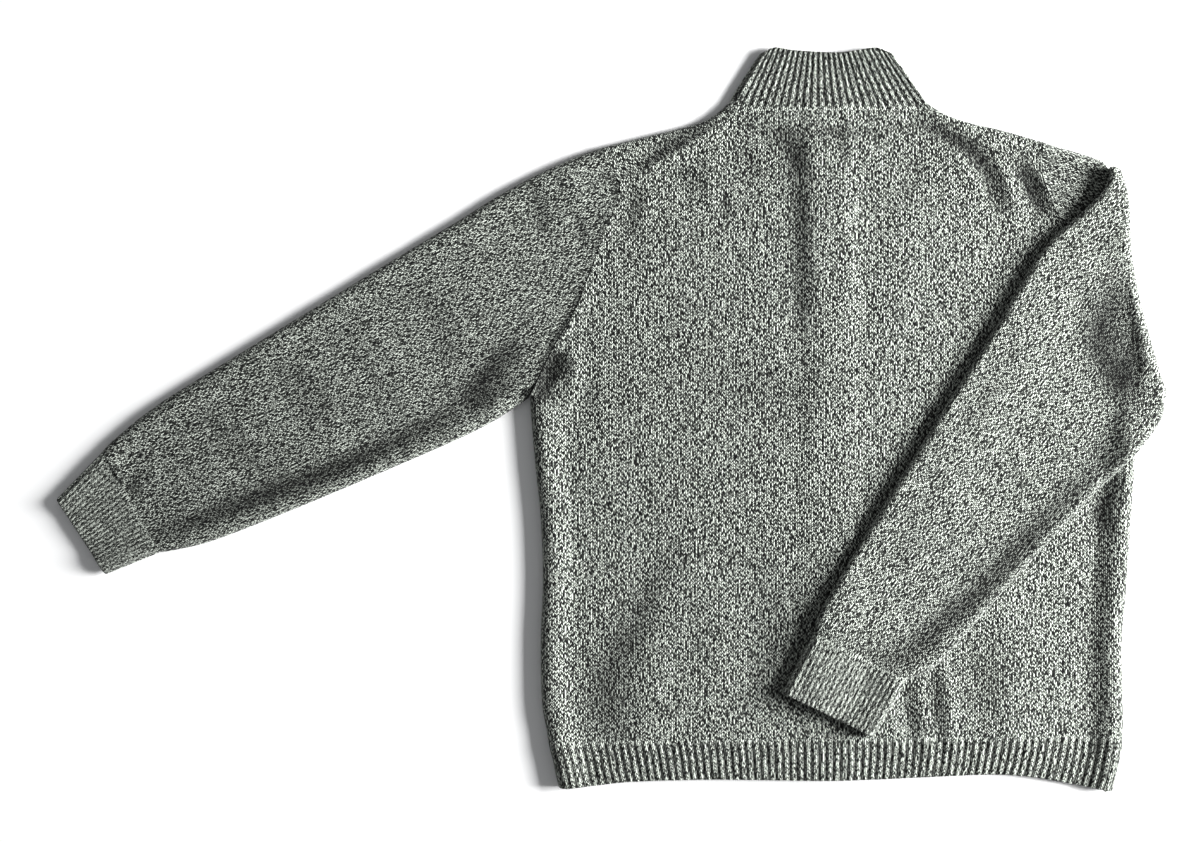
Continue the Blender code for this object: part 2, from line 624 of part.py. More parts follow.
LEFT_RINGS = [0, *np.linspace(0.05, 1, 12)]     # rings of the left sleeve as shares of its length
HOLE_FADE = 0.5                                 # where along it the armhole's curve has died away
RIGHT_RINGS = (0, 0.3, 0.6, 1)                  # rings of the right sleeve up to its fold
FOLD_RINGS = (30, 60, 90, 120, 150, 180)        # rings round the fold, in degrees
FOLDED_RINGS = np.linspace(0, 1, 16)[1:]        # rings of what is folded over
FOLD_FADE = 0.2                                 # where along it the fold's curve has died away


def make_sleeve_left():
    upper, lower = spline(LEFT_UPPER_EDGE), spline(LEFT_LOWER_EDGE)
    hole = aside(spline(LEFT_ARMHOLE), -SEAM / 2)
    start_b = at(lower, ARMPIT_CLEARANCE / run(lower)[-1])
    rings = []
    for share in LEFT_RINGS:
        a, b = at(upper, share), at(lower, share)
        if share == 0:
            a, b = hole[0], start_b
        if share == 1:
            a = a - SEAM / 2 * heading_at(upper, 1)
            b = b - SEAM / 2 * heading_at(lower, 1)
        bow = (1 - smooth_step(share, 0, HOLE_FADE)) * bow_of(hole)
        rings.append(ring_between(a, b, bow, heading_at(upper, share), heading_at(lower, share)))
    built = []
    for ring in rings:
        places, facing, _ = ring_points(ring)
        on_top = np.clip(facing[:, 2], 0, 1)
        middle = np.clip((places[:, 2] - FLOOR) / (2 * SPREAD), 0, 1) * on_top
        places[:, 2] += middle * crowns(places[:, 0], places[:, 1])
        built.append((places, facing))
    wall("sleeve_left", [p for p, _ in built], np.array([f for _, f in built]), WOOL_GREY, ring=True)


def folded_height(plan):
    """Middle between the walls of the folded sleeve, which lies on the back."""
    under = REST_ON_BACK + (REST_ON_SIDE - REST_ON_BACK) * smooth_step(plan[:, 0], *CLIMB)
    return under + CLOTH / 2 + SPREAD


FOLD_TOP, FOLD_LOW = np.array(FOLD_OUTSIDE[0]), np.array(FOLD_OUTSIDE[-1])
FOLD_WAY = unit(FOLD_LOW - FOLD_TOP)
FOLD_OUT = np.array([-FOLD_WAY[1], FOLD_WAY[0]])            # square to the fold, away from the body


def make_sleeve_right():
    reach = FOLD_RADIUS + SPREAD + CLOTH / 2
    axis_a, axis_b = FOLD_TOP - reach * FOLD_OUT, FOLD_LOW - reach * FOLD_OUT
    hole = aside(spline(RIGHT_ARMHOLE), SEAM / 2)
    hole_bow = bow_of(hole)
    fold_bow = bow_of(spline(FOLD_OUTSIDE))
    upper = spline(RIGHT_UPPER_EDGE[:-1] + [tuple(axis_a)])
    start_b = np.array(RIGHT_ARMHOLE[-1]) + (ARMPIT_CLEARANCE, 0)
    rings = []
    for share in RIGHT_RINGS:
        a = at(upper, share) if share else hole[0]
        b = (1 - share) * start_b + share * axis_b
        bow = (1 - share) ** 2 * hole_bow + share * fold_bow
        rings.append(ring_between(a, b, bow, heading_at(upper, share), (1, 0)))
    for degrees in FOLD_RINGS:
        angle = math.radians(degrees)
        shift = FOLD_RADIUS * math.sin(angle) * FOLD_OUT
        middle = FLOOR + SPREAD + FOLD_RADIUS * (1 - math.cos(angle))
        up = (*(-FOLD_OUT * math.sin(angle)), math.cos(angle))
        rings.append(ring_between(axis_a + shift, axis_b + shift, fold_bow, FOLD_OUT, FOLD_OUT, up,
                                  math.cos(angle), EDGE_ROUND, lambda plan, z=middle: np.full(len(plan), z)))
    left, right = spline(FOLDED_LEFT_EDGE), spline(FOLDED_RIGHT_EDGE)
    for share in FOLDED_RINGS:
        a, b = at(left, share), at(right, share)
        if share == 1:
            a = a - SEAM / 2 * heading_at(left, 1)
            b = b - SEAM / 2 * heading_at(right, 1)
        settled = smooth_step(share, 0, FOLD_FADE)
        bow = (1 - settled) * fold_bow
        radius = EDGE_ROUND + (FOLDED_ROUND - EDGE_ROUND) * settled
        rings.append(ring_between(a, b, bow, heading_at(left, share), heading_at(right, share), (0, 0, -1),
                                  -1.0, radius, folded_height))
    sleeve_wall("sleeve_right", rings)


def make_cuff(name, start, end, radius, height):
    """A ribbed cuff from the sleeve's end to its own edge. start, end: upper and lower corner."""
    shares, heights = rib_columns(CUFF_RIBS)
    shares, heights = shares[1:-1], heights[1:-1]
    start, end = np.array(start, float), np.array(end, float)
    edges = [unit(end[i] - start[i]) for i in range(2)]
    start = start + [SEAM / 2 * edges[0], SEAM / 2 * edges[1]]
    built = []
    for share in (0, 0.5, 1):
        a, b = (1 - share) * start + share * end
        ring = ring_between(a, b, 0, *edges, radius=radius, height=height)
        built.append(ring_points(ring, shares, heights))
    wall(name, [p for p, _, _ in built], np.array([f for _, f, _ in built]), TRIM_GREY,
         ribs=np.array([r for _, _, r in built]), ring=True)


def clear_scene():
    for old in list(bpy.data.objects):
        bpy.data.objects.remove(old)


def main():
    clear_scene()
    make_back()
    make_front(LEFT, "front_left")
    make_front(RIGHT, "front_right")
    make_hem_back()
    make_hem_front(LEFT, "hem_front_left")
    make_hem_front(RIGHT, "hem_front_right")
    make_collar()
    make_sleeve_left()
    make_sleeve_right()
    make_cuff("cuff_left", (LEFT_UPPER_EDGE[-1], LEFT_LOWER_EDGE[-1]), LEFT_CUFF_END, EDGE_ROUND, flat_height)
    make_cuff("cuff_right", (FOLDED_LEFT_EDGE[-1], FOLDED_RIGHT_EDGE[-1]), RIGHT_CUFF_END, FOLDED_ROUND,
              folded_height)


main()
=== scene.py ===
# %% [markdown]
# # A marled wool cardigan, laid flat
#
# This lesson dresses a plain model of a knitted cardigan. The cardigan lies face down, so its back shows:
# one sleeve is stretched out and the other is folded over the back. Eleven pieces are knitted and linked
# together, and each gets a finer cloth of its own here: a thin wall of wool with soft folds, real ribs and
# rolled edges. The plain model stays underneath as the frame that says where everything is.

# %% Load the frame
import math
from collections import namedtuple

import bpy
import numpy as np
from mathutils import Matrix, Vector


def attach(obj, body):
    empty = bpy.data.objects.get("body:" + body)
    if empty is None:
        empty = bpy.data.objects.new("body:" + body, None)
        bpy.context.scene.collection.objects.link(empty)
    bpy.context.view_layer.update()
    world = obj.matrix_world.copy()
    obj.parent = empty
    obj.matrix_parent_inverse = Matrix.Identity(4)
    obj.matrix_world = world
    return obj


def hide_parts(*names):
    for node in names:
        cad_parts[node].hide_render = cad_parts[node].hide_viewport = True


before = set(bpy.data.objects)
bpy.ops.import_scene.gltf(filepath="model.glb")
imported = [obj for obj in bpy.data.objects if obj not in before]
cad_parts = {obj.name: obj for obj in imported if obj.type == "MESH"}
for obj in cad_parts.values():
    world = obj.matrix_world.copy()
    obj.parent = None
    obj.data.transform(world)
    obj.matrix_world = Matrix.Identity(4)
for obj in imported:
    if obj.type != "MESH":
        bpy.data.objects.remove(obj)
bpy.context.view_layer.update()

# %% [markdown]
# Knitters draw a garment in millimetres from the centre back and up from the hem, so this one is drawn that
# way too. One pair of numbers then moves it to the frame, whose origin is the middle of the laid garment.

# %% Garment millimetres
MM = 0.001
MIDDLE = np.array([-222.61, 366.07])  # the laid garment's middle in garment millimetres


def to_frame(places):
    """Garment places in millimetres as frame places in metres."""
    moved = np.array(places, float)
    moved[..., :2] -= MIDDLE
    return moved * MM


print("centre back at the hem:", to_frame([0, 0, 0]).round(3))

# %% [markdown]
# The camera comes first. The picture was taken from straight above and takes in 1.2 m of the surface. A
# camera reaches that width from near with a wide lens or from afar with a long one. From 1.9 m the sleeve
# that lies on top looks hardly bigger than the one below it, as in the picture.

# %% Camera
VIEW_WIDTH = 1.2  # metres of the surface across the picture
VIEW_CENTRE = (-0.0114, -0.0021)
CAMERA_HEIGHT = 1.9
SENSOR = 36.0
OUTLINE_LEVEL = 0.004  # height of the garment's outline over the floor

camera_data = bpy.data.cameras.new("camera")
camera_data.sensor_width = SENSOR
camera_data.lens = SENSOR * (CAMERA_HEIGHT - OUTLINE_LEVEL) / VIEW_WIDTH
camera = bpy.data.objects.new("camera", camera_data)
camera.location = (*VIEW_CENTRE, CAMERA_HEIGHT)
bpy.context.scene.collection.objects.link(camera)
bpy.context.scene.camera = camera
print("lens:", round(camera_data.lens, 1), "mm")

# %% [markdown]
# One broad window stands low on the right and lights the cloth at a slant, so every soft fold shows. It
# gives the dark shadow along the folded sleeve and leaves the far sleeve darker than the near side. A pale
# sky fills the shadows a little. A square area lamp is the plain way to make a window, because its size
# sets how soft the shadows are.

# %% Light
WINDOW_PLACE = (2.47, 0.08, 1.12)
WINDOW_AIM = (0.0, 0.0, 0.0)
WINDOW_SIZE = 1.2
WINDOW_POWER = 262.0
SKY_TINT = (0.97, 0.985, 1.0, 1.0)
SKY_STRENGTH = 0.30
PRINT_GAMMA = 0.85  # below 1 gives the picture more contrast

window_data = bpy.data.lights.new("window", "AREA")
window_data.shape = "SQUARE"
window_data.size = WINDOW_SIZE
window_data.energy = WINDOW_POWER
window = bpy.data.objects.new("window", window_data)
window.location = WINDOW_PLACE
window.rotation_mode = "QUATERNION"
window.rotation_quaternion = (Vector(WINDOW_AIM) - Vector(WINDOW_PLACE)).to_track_quat("-Z", "Y")
bpy.context.scene.collection.objects.link(window)
sky = bpy.data.worlds.new("sky")
sky.use_nodes = True
sky.node_tree.nodes["Background"].inputs["Color"].default_value = SKY_TINT
sky.node_tree.nodes["Background"].inputs["Strength"].default_value = SKY_STRENGTH
bpy.context.scene.world = sky
bpy.context.scene.view_settings.view_transform = "Standard"
bpy.context.scene.view_settings.gamma = PRINT_GAMMA
print("window at", WINDOW_PLACE)

# %% [markdown]
# Finishes are built from nodes. One small function adds a node and links it, so that a finish reads from
# top to bottom like a recipe. Colours are written as the hex values that a colour picker gives, and one
# function turns them into the linear values that light needs.

# %% Node and colour helpers


def add(tree, kind, inputs=(), **settings):
    """Adds a node and gives its first output. inputs: numbers, or outputs of other nodes to link."""
    made = tree.nodes.new("ShaderNode" + kind)
    for key, value in settings.items():
        setattr(made, key, value)
    for key, value in inputs.items() if isinstance(inputs, dict) else enumerate(inputs):
        if isinstance(value, bpy.types.NodeSocket):
            tree.links.new(value, made.inputs[key])
        else:
            made.inputs[key].default_value = value
    return made.outputs[0]


def linear(colour):
    """An sRGB hex colour as a linear colour with full alpha."""
    parts = [int(colour[i:i + 2], 16) / 255 for i in (1, 3, 5)]
    return (*[p / 12.92 if p <= 0.04045 else ((p + 0.055) / 1.055) ** 2.4 for p in parts], 1.0)


def new_finish(name, surface):
    """A finish with these plain values: its material, its tree and its Principled shader."""
    made = bpy.data.materials.new(name)
    made.use_nodes = True
    shader = made.node_tree.nodes["Principled BSDF"]
    for socket, value in surface.items():
        shader.inputs[socket].default_value = value
    return made, made.node_tree, shader


print("a picker's middle grey is", round(linear("#808080")[0], 3))

# %% [markdown]
# The floor is a pale board with matt paint. Matt paint scatters light evenly, so it shows soft shadows and
# no gloss. A plane of one flat colour would look unfinished, so it is faintly mottled.

# %% Floor
FLOOR_HALF = 4.0
MOTTLE_SCALE = 3.0  # patches in each metre

board, tree, shader = new_finish("white_matt_board", {"Roughness": 0.9})
mottle = add(tree, "TexNoise", {"Scale": MOTTLE_SCALE, "Detail": 3.0})
tone = add(tree, "MapRange", {"Value": mottle, "To Min": 0.93, "To Max": 0.97})
tint = add(tree, "CombineColor", [tone, tone, tone])
tree.links.new(tint, shader.inputs["Base Color"])
floor_mesh = bpy.data.meshes.new("floor")
floor_corners = [(x * FLOOR_HALF, y * FLOOR_HALF, 0.0) for x, y in ((-1, -1), (1, -1), (1, 1), (-1, 1))]
floor_mesh.from_pydata(floor_corners, [], [(0, 1, 2, 3)])
floor_mesh.materials.append(board)
floor = bpy.data.objects.new("floor", floor_mesh)
bpy.context.scene.collection.objects.link(floor)
print("floor:", 2 * FLOOR_HALF, "m wide")

# %% [markdown]
# The yarn is marled: a charcoal ply and an off-white ply are twisted together, and knitting cuts the twist
# into dashes. In plain jersey each stitch is a V of two legs, and the Vs stand in columns called wales. The
# pattern could be a picture, but a picture of such fine work would be huge, so a recipe draws it from the
# position in millimetres: which leg of which wale, which stitch of that leg, and a chance shade. Because
# the two plies take turns on top, a light dash has dark neighbours. Taking the difference of two
# neighbours' chances gives that, and it keeps the cloth an even grey from afar, where pure chance would
# leave blotches. Wool's loose fibres leave it matt, with only a soft sheen at a slant.

# %% Marled wool
WALE = 3.43  # width of a V in the jersey
COURSE = 2.5  # height of a V
V_RISE = 0.9  # how far a leg rises across its width, in courses
CHARCOAL = "#0e1010"
MID_GREY = "#51544f"
OFF_WHITE = "#d5dbd2"
BESIDE = 0.46  # share of the shade that a leg takes from its neighbour
ABOVE = 0.34  # and from the stitch above it
ALONE = 0.30  # and by chance alone
DASHES = 1.5  # dashes in the length of a stitch
FINE_DASHES = 2.2
FINE_SET = 9  # sets the fine dashes' chances apart from the others
PATCH_SCALE = 0.03  # faint patches in each millimetre
PATCH_DRIFT = 0.05  # how much lighter or darker they are
YARN_RELIEF = 0.0007  # metres that a leg stands proud of the gap beside it
RELIEF_STRENGTH = 0.8
LEG_END = 0.55  # height of a leg at its ends, where the next one begins
FULL_TONE = 0.75  # height of a leg from which it gets no painted shade
FIBRE = 5.0  # fibre streaks in each millimetre
FIBRE_SHARE = 0.25  # their part in the relief
PAINTED_GAP_TONE = 0.28  # brightness of the painted shade in the gaps between legs
PAINTED_SHADE_TONE = 0.22  # brightness of the painted shade at the bottom of a rib's furrow or a deep crease hollow
WOOL = {"Roughness": 0.92, "Sheen Weight": 0.18, "Sheen Roughness": 0.5, "Specular IOR Level": 0.2}


def neighbours(tree, cell, step):
    """A cell's chance, and how far it is above the chance of the cell one step on."""
    beside = add(tree, "VectorMath", [cell, step], operation="ADD")
    here, there = [add(tree, "TexWhiteNoise", [k], noise_dimensions="3D") for k in (cell, beside)]
    return here, add(tree, "Math", [here, there], operation="SUBTRACT")


def rounded_shade(tree, share):
    """A height that rises and falls once while the share goes from 0 to 1."""
    angle = add(tree, "Math", [share, math.pi], operation="MULTIPLY")
    return add(tree, "Math", [angle], operation="SINE")


def marled_wool(name, dark_below, light_above):
    """Matt woollen yarn in jersey stitches, charcoal under one chance and off-white over another."""
    made, tree, shader = new_finish(name, WOOL)
    place = add(tree, "UVMap", uv_map="knit")
    x, y, _ = add(tree, "SeparateXYZ", [place]).node.outputs
    legs = add(tree, "Math", [x, 2 / WALE], operation="MULTIPLY")
    leg = add(tree, "Math", [legs], operation="FLOOR")
    over = add(tree, "Math", [legs, 1.0], operation="PINGPONG")
    rise = add(tree, "Math", [over, V_RISE], operation="MULTIPLY")
    courses = add(tree, "Math", [y, 1 / COURSE], operation="MULTIPLY")
    slanted = add(tree, "Math", [courses, rise], operation="SUBTRACT")
    steps = add(tree, "Math", [slanted, DASHES], operation="MULTIPLY")
    stitch = add(tree, "Math", [steps], operation="FLOOR")
    fine_steps = add(tree, "Math", [slanted, FINE_DASHES], operation="MULTIPLY")
    dash = add(tree, "Math", [fine_steps], operation="FLOOR")

    # the ply on top: one chance against the neighbour leg's, a finer one against the next dash's
    _, ply = neighbours(tree, add(tree, "CombineXYZ", [leg, stitch]), (1, 0, 0))
    dash_chance, fine_ply = neighbours(tree, add(tree, "CombineXYZ", [leg, dash, FINE_SET]), (0, 1, 0))
    coarse = add(tree, "Math", [ply, BESIDE, 0.5], operation="MULTIPLY_ADD")
    fine = add(tree, "Math", [fine_ply, ABOVE, coarse], operation="MULTIPLY_ADD")
    centred = add(tree, "Math", [dash_chance, 0.5], operation="SUBTRACT")
    shade = add(tree, "Math", [centred, ALONE, fine], operation="MULTIPLY_ADD")
    patches = add(tree, "TexNoise", {"Vector": place, "Scale": PATCH_SCALE, "Detail": 3.0})
    drift = add(tree, "MapRange", {"Value": patches, "To Min": -PATCH_DRIFT, "To Max": PATCH_DRIFT})
    drifted = add(tree, "Math", [shade, drift], operation="ADD")
    ply_colour = add(tree, "ValToRGB", [drifted])
    stops = ply_colour.node.color_ramp.elements
    stops[0].position, stops[0].color = dark_below, linear(CHARCOAL)
    stops[1].position, stops[1].color = light_above, linear(OFF_WHITE)
    stops.new((dark_below + light_above) / 2).color = linear(MID_GREY)

    # each leg is round, so its sides and its ends fall away: the bump gives the relief, and the shade in the
    # gaps is painted into the colour
    side = rounded_shade(tree, add(tree, "Math", [legs], operation="FRACT"))
    end = rounded_shade(tree, add(tree, "Math", [slanted], operation="FRACT"))
    end_part = add(tree, "MapRange", {"Value": end, "To Min": LEG_END, "To Max": 1.0})
    body = add(tree, "Math", [side, end_part], operation="MULTIPLY")
    streak = add(tree, "TexNoise", {"Vector": place, "Scale": FIBRE, "Detail": 3.0})
    height = add(tree, "Math", [streak, FIBRE_SHARE, body], operation="MULTIPLY_ADD")
    painted_leg_shade = add(tree, "MapRange", {"Value": body, "From Max": FULL_TONE, "To Min": PAINTED_GAP_TONE, "To Max": 1.0})
    # painted shade of rib furrows and crease hollows, kept in a point attribute of the mesh
    depth = add(tree, "Attribute", attribute_name="furrow").node.outputs["Fac"]
    painted_hollow_tone = add(tree, "MapRange", {"Value": depth, "To Min": 1.0, "To Max": PAINTED_SHADE_TONE})
    tone = add(tree, "Math", [painted_leg_shade, painted_hollow_tone], operation="MULTIPLY")
    colour = add(tree, "VectorMath", {0: ply_colour, "Scale": tone}, operation="SCALE")
    bump = add(tree, "Bump", {"Strength": RELIEF_STRENGTH, "Distance": YARN_RELIEF, "Height": height})
    tree.links.new(colour, shader.inputs["Base Color"])
    tree.links.new(bump, shader.inputs["Normal"])
    return made


jersey_finish = marled_wool("marled_wool_jersey", 0.37, 0.72)
rib_finish = marled_wool("marled_wool_rib", 0.28, 0.60)
print("V of", WALE, "by", COURSE, "mm")

# %% [markdown]
# Now the cloth. Its edges and seams are drawn as smooth lines through a few points that were measured from
# the picture. Everything else is worked out from those lines: points at equal steps, a line moved aside,
# rows of points between two edges, and how far a place is from a line.

# %% Plan curves
SPLINE_STEPS = 8  # steps between two points of a table
LINE_POINTS = 33  # points on a line across a sleeve
HEADING_STEP = 0.02  # share of a curve over which its direction is taken


def spline(points):
    """A smooth line through the points, with the same number of steps between each pair."""
    p = np.array(points, float)
    p = np.vstack([2 * p[0] - p[1], p, 2 * p[-1] - p[-2]])
    t = np.linspace(0, 1, SPLINE_STEPS, endpoint=False)[:, None]
    spans = []
    for a, b, c, d in zip(p, p[1:], p[2:], p[3:]):
        spans.append(b + (c - a) * t / 2 + (2 * a - 5 * b + 4 * c - d) * t ** 2 / 2
                     + (3 * b - a - 3 * c + d) * t ** 3 / 2)
    return np.vstack(spans + [p[-2:-1]])


def run(curve):
    """Distance from the curve's start to each of its points."""
    return np.concatenate([[0], np.cumsum(np.linalg.norm(np.diff(curve, axis=0), axis=1))])


def along(values, length, where):
    """Values that are given at these lengths of a curve, read at other places of it."""
    return np.stack([np.interp(where, length, column) for column in np.transpose(values)], axis=-1)


def at(curve, fractions):
    """Points at these fractions of a curve's length."""
    length = run(curve)
    return along(curve, length, np.asarray(fractions, float) * length[-1])


def unit(vectors):
    """A direction, or a row of directions, with length 1."""
    return np.asarray(vectors, float) / np.linalg.norm(vectors, axis=-1, keepdims=True)


def headings(curve):
    """Unit direction of travel at each point."""
    return unit(np.gradient(curve, axis=0))


def heading_at(curve, share):
    low, high = at(curve, [max(share - HEADING_STEP, 0), min(share + HEADING_STEP, 1)])
    return unit(high - low)


def aside(curve, distance):
    """The curve moved to the left of its direction of travel."""
    way = headings(curve)
    return curve + distance * np.stack([-way[:, 1], way[:, 0]], axis=1)


def fill_row(low, high, start, end, share):
    """One row between two rows of points, bent so that it starts and ends at given points."""
    row = (1 - share) * low + share * high
    part = (run(row) / run(row)[-1])[:, None]
    return row + (1 - part) * (start - row[0]) + part * (end - row[-1])


def smooth_step(value, start, end):
    t = np.clip((np.asarray(value, float) - start) / (end - start), 0, 1)
    return t * t * (3 - 2 * t)


def nearest(x, y, line):
    """Distance of each place from a line, and the share of the line's length at which it is nearest."""
    line = np.asarray(line, float)
    length = run(line)
    distance = np.full(np.shape(x), np.inf)
    share = np.zeros(np.shape(x))
    for k in range(len(line) - 1):
        way = line[k + 1] - line[k]
        t = ((x - line[k, 0]) * way[0] + (y - line[k, 1]) * way[1]) / max(way.dot(way), 1e-9)
        t = np.clip(t, 0, 1)
        off = np.hypot(x - line[k, 0] - t * way[0], y - line[k, 1] - t * way[1])
        closer = off < distance
        distance = np.where(closer, off, distance)
        share = np.where(closer, (length[k] + t * (length[k + 1] - length[k])) / length[-1], share)
    return distance, share


print("a curve of 3 points has", len(spline([(0, 0), (50, 10), (90, 60)])), "points")

# %% [markdown]
# These are the measured edges and seams. The body is listed as its half widths at heights above the hem.
# The armholes run from the shoulder's outline down to the armpit. They reach the back-shoulder seam at
# their fourth point, because on this cardigan the shoulder seam lies on the back and the fronts reach over
# it.

# %% Edges and seams
BODY_SIDES = [  # height, left side, right side
    (-8, -273, 276), (10, -278, 281), (25, -281, 284), (40, -285, 287), (55, -287, 288), (85, -292, 288),
    (145, -293, 287), (205, -291, 292), (265, -293, 296), (325, -299, 300), (387, -304, 304),
]
HEM_EDGE = [(-273, -2), (-239, 0), (-199, 4), (-119, 6), (1, 5), (101, 9), (161, 11), (201, 8), (241, 1),
            (276, -5)]
LEFT_ARMHOLE = [(-231, 637), (-226, 618), (-218, 607), (-214, 599), (-217, 581), (-228, 555), (-248, 501),
                (-263, 466), (-282, 434), (-304, 387)]
RIGHT_ARMHOLE = [(208, 643), (207, 623), (207, 607), (211, 597), (221, 572), (232, 545), (250, 495),
                 (264, 466), (283, 434), (304, 387)]
LEFT_SHOULDER = [(-105, 682), (-119, 670), (-139, 660), (-179, 650), (-231, 637)]
RIGHT_SHOULDER = [(91, 683), (112, 670), (139, 661), (166, 655), (208, 643)]
LEFT_SHOULDER_SEAM = [(-96, 673), (-111, 663), (-134, 647), (-174, 623), (-214, 599)]
RIGHT_SHOULDER_SEAM = [(93, 674), (115, 652), (150, 638), (192, 619), (211, 597)]
BACK_NECK = [(-96, 673), (93, 674)]
LEFT_NECKLINE = [(-6, 600), (-45, 608), (-80, 636), (-98, 668)]
RIGHT_NECKLINE = [(-6, 600), (33, 608), (68, 636), (86, 668)]
COLLAR_TOP = [(-74, 731), (-59, 737), (-39, 734), (1, 732), (21, 734), (41, 737), (58, 731)]
LEFT_COLLAR_TOP = [(-6, 660), (-35, 668), (-58, 694), (-70, 728)]
RIGHT_COLLAR_TOP = [(-6, 660), (23, 668), (44, 694), (54, 728)]
LEFT_UPPER_EDGE = [(-231, 637), (-259, 627), (-299, 609), (-339, 587), (-379, 562), (-459, 514), (-619, 416),
                   (-679, 378), (-719, 346), (-730, 335)]
LEFT_LOWER_EDGE = [(-304, 387), (-339, 364), (-379, 344), (-439, 318), (-539, 276), (-619, 245), (-659, 235),
                   (-674, 233)]
LEFT_CUFF_END = [(-777, 286), (-728, 211)]
RIGHT_UPPER_EDGE = [(208, 643), (217, 640), (266, 625), (281, 618)]
FOLD_OUTSIDE = [(281, 618), (290, 597), (294, 572), (295, 539), (300, 505), (307, 473), (315, 445),
                (325, 410), (332, 387)]
FOLDED_LEFT_EDGE = [(273, 616), (264, 592), (246, 573), (203, 531), (156, 453), (100, 365), (16, 230),
                    (-17, 173), (-22, 155)]
FOLDED_RIGHT_EDGE = [(324, 385), (325, 370), (305, 340), (280, 314), (244, 278), (166, 194), (111, 132),
                     (94, 117), (71, 107)]
RIGHT_CUFF_END = [(-53, 94), (38, 50)]
ARMPIT_Y = 387.0
HEM_SEAM_Y = 47.0
HEM_SEAM_SLOPE = 0.012
HEM_REACH = 286.0  # the body's half width at the hem
CENTRE_HEM_X = 1.5  # the fronts' meeting line at the hem and at the neck
CENTRE_NECK_X = -6.0
FRONT_NECK_Y = 600.0
ARMHOLE_MEETS_SEAM = 3  # the armhole's point where the back-shoulder seam ends

SIDES = np.array(BODY_SIDES, float)
LEFT_SIDE = spline(SIDES[:, [1, 0]])
RIGHT_SIDE = spline(SIDES[:, [2, 0]])
HEM_LINE = spline(HEM_EDGE)
LEFT_HOLE = spline(LEFT_ARMHOLE)
RIGHT_HOLE = spline(RIGHT_ARMHOLE)


def side_x(y, edge):
    return np.interp(y, edge[:, 1], edge[:, 0])


def hem_seam(x):
    return HEM_SEAM_Y + HEM_SEAM_SLOPE * np.asarray(x, float)


def hem_edge(x):
    return np.interp(x, HEM_LINE[:, 0], HEM_LINE[:, 1])


def centre_x(y):
    return CENTRE_HEM_X + (CENTRE_NECK_X - CENTRE_HEM_X) * y / FRONT_NECK_Y


print("left armhole:", round(run(LEFT_HOLE)[-1]), "mm along the seam")

# %% [markdown]
# The lower layer rests on the floor and the upper layer lies on it with a little air between, as bulky wool
# does. Where the cloth turns round at the body's sides it makes a fat roll, which catches the light as a
# bright rim. Creases could come from a cloth simulation, but then they would lie where chance puts them.
# Here they are listed in a table of their own sizes: each is a soft line with a height and a
# width, and a negative height makes it a trough. Chance waves of a quarter of a millimetre keep flat parts
# from looking ironed.

# %% Heights of the upper layer
CLOTH = 2.8  # thickness of the knitted wall
AIR = 3.2  # air between two layers
SEAM = 0.06  # gap between two pieces at a seam
FLOOR = CLOTH / 2  # middle of the lower wall
SPREAD = (CLOTH + AIR) / 2  # half the distance between the walls' middles
UPPER = FLOOR + 2 * SPREAD  # middle of the upper wall
Edge = namedtuple("Edge", "wide tall fade")  # a turned edge: half width, half height, roll's length inwards
LEFT_EDGE = Edge(10.0, 7.1, 25.0)
RIGHT_EDGE = Edge(9.0, 6.2, 26.0)
SHOULDER_EDGE = Edge(4.2, 3.4, 12.0)
ROLL_FADE = 40.0  # how far above the armpit the sides' roll has died away
END_FADE = 0.6  # how softly a crease's ends die away
REACH = 3.0  # a crease is left out this many widths away
# the most painted shade that a crease hollow can take
DARKEST = 1.3
HOLLOW_PAINTED_SHADE = 0.28  # painted shade: how much a millimetre of hollow darkens the cloth's colour
Crease = namedtuple("Crease", "height width sharpness line")


def drawn(table):
    """The creases of a table, with their points joined by smooth lines."""
    return [Crease(*sizes, spline(points)) for *sizes, points in table]


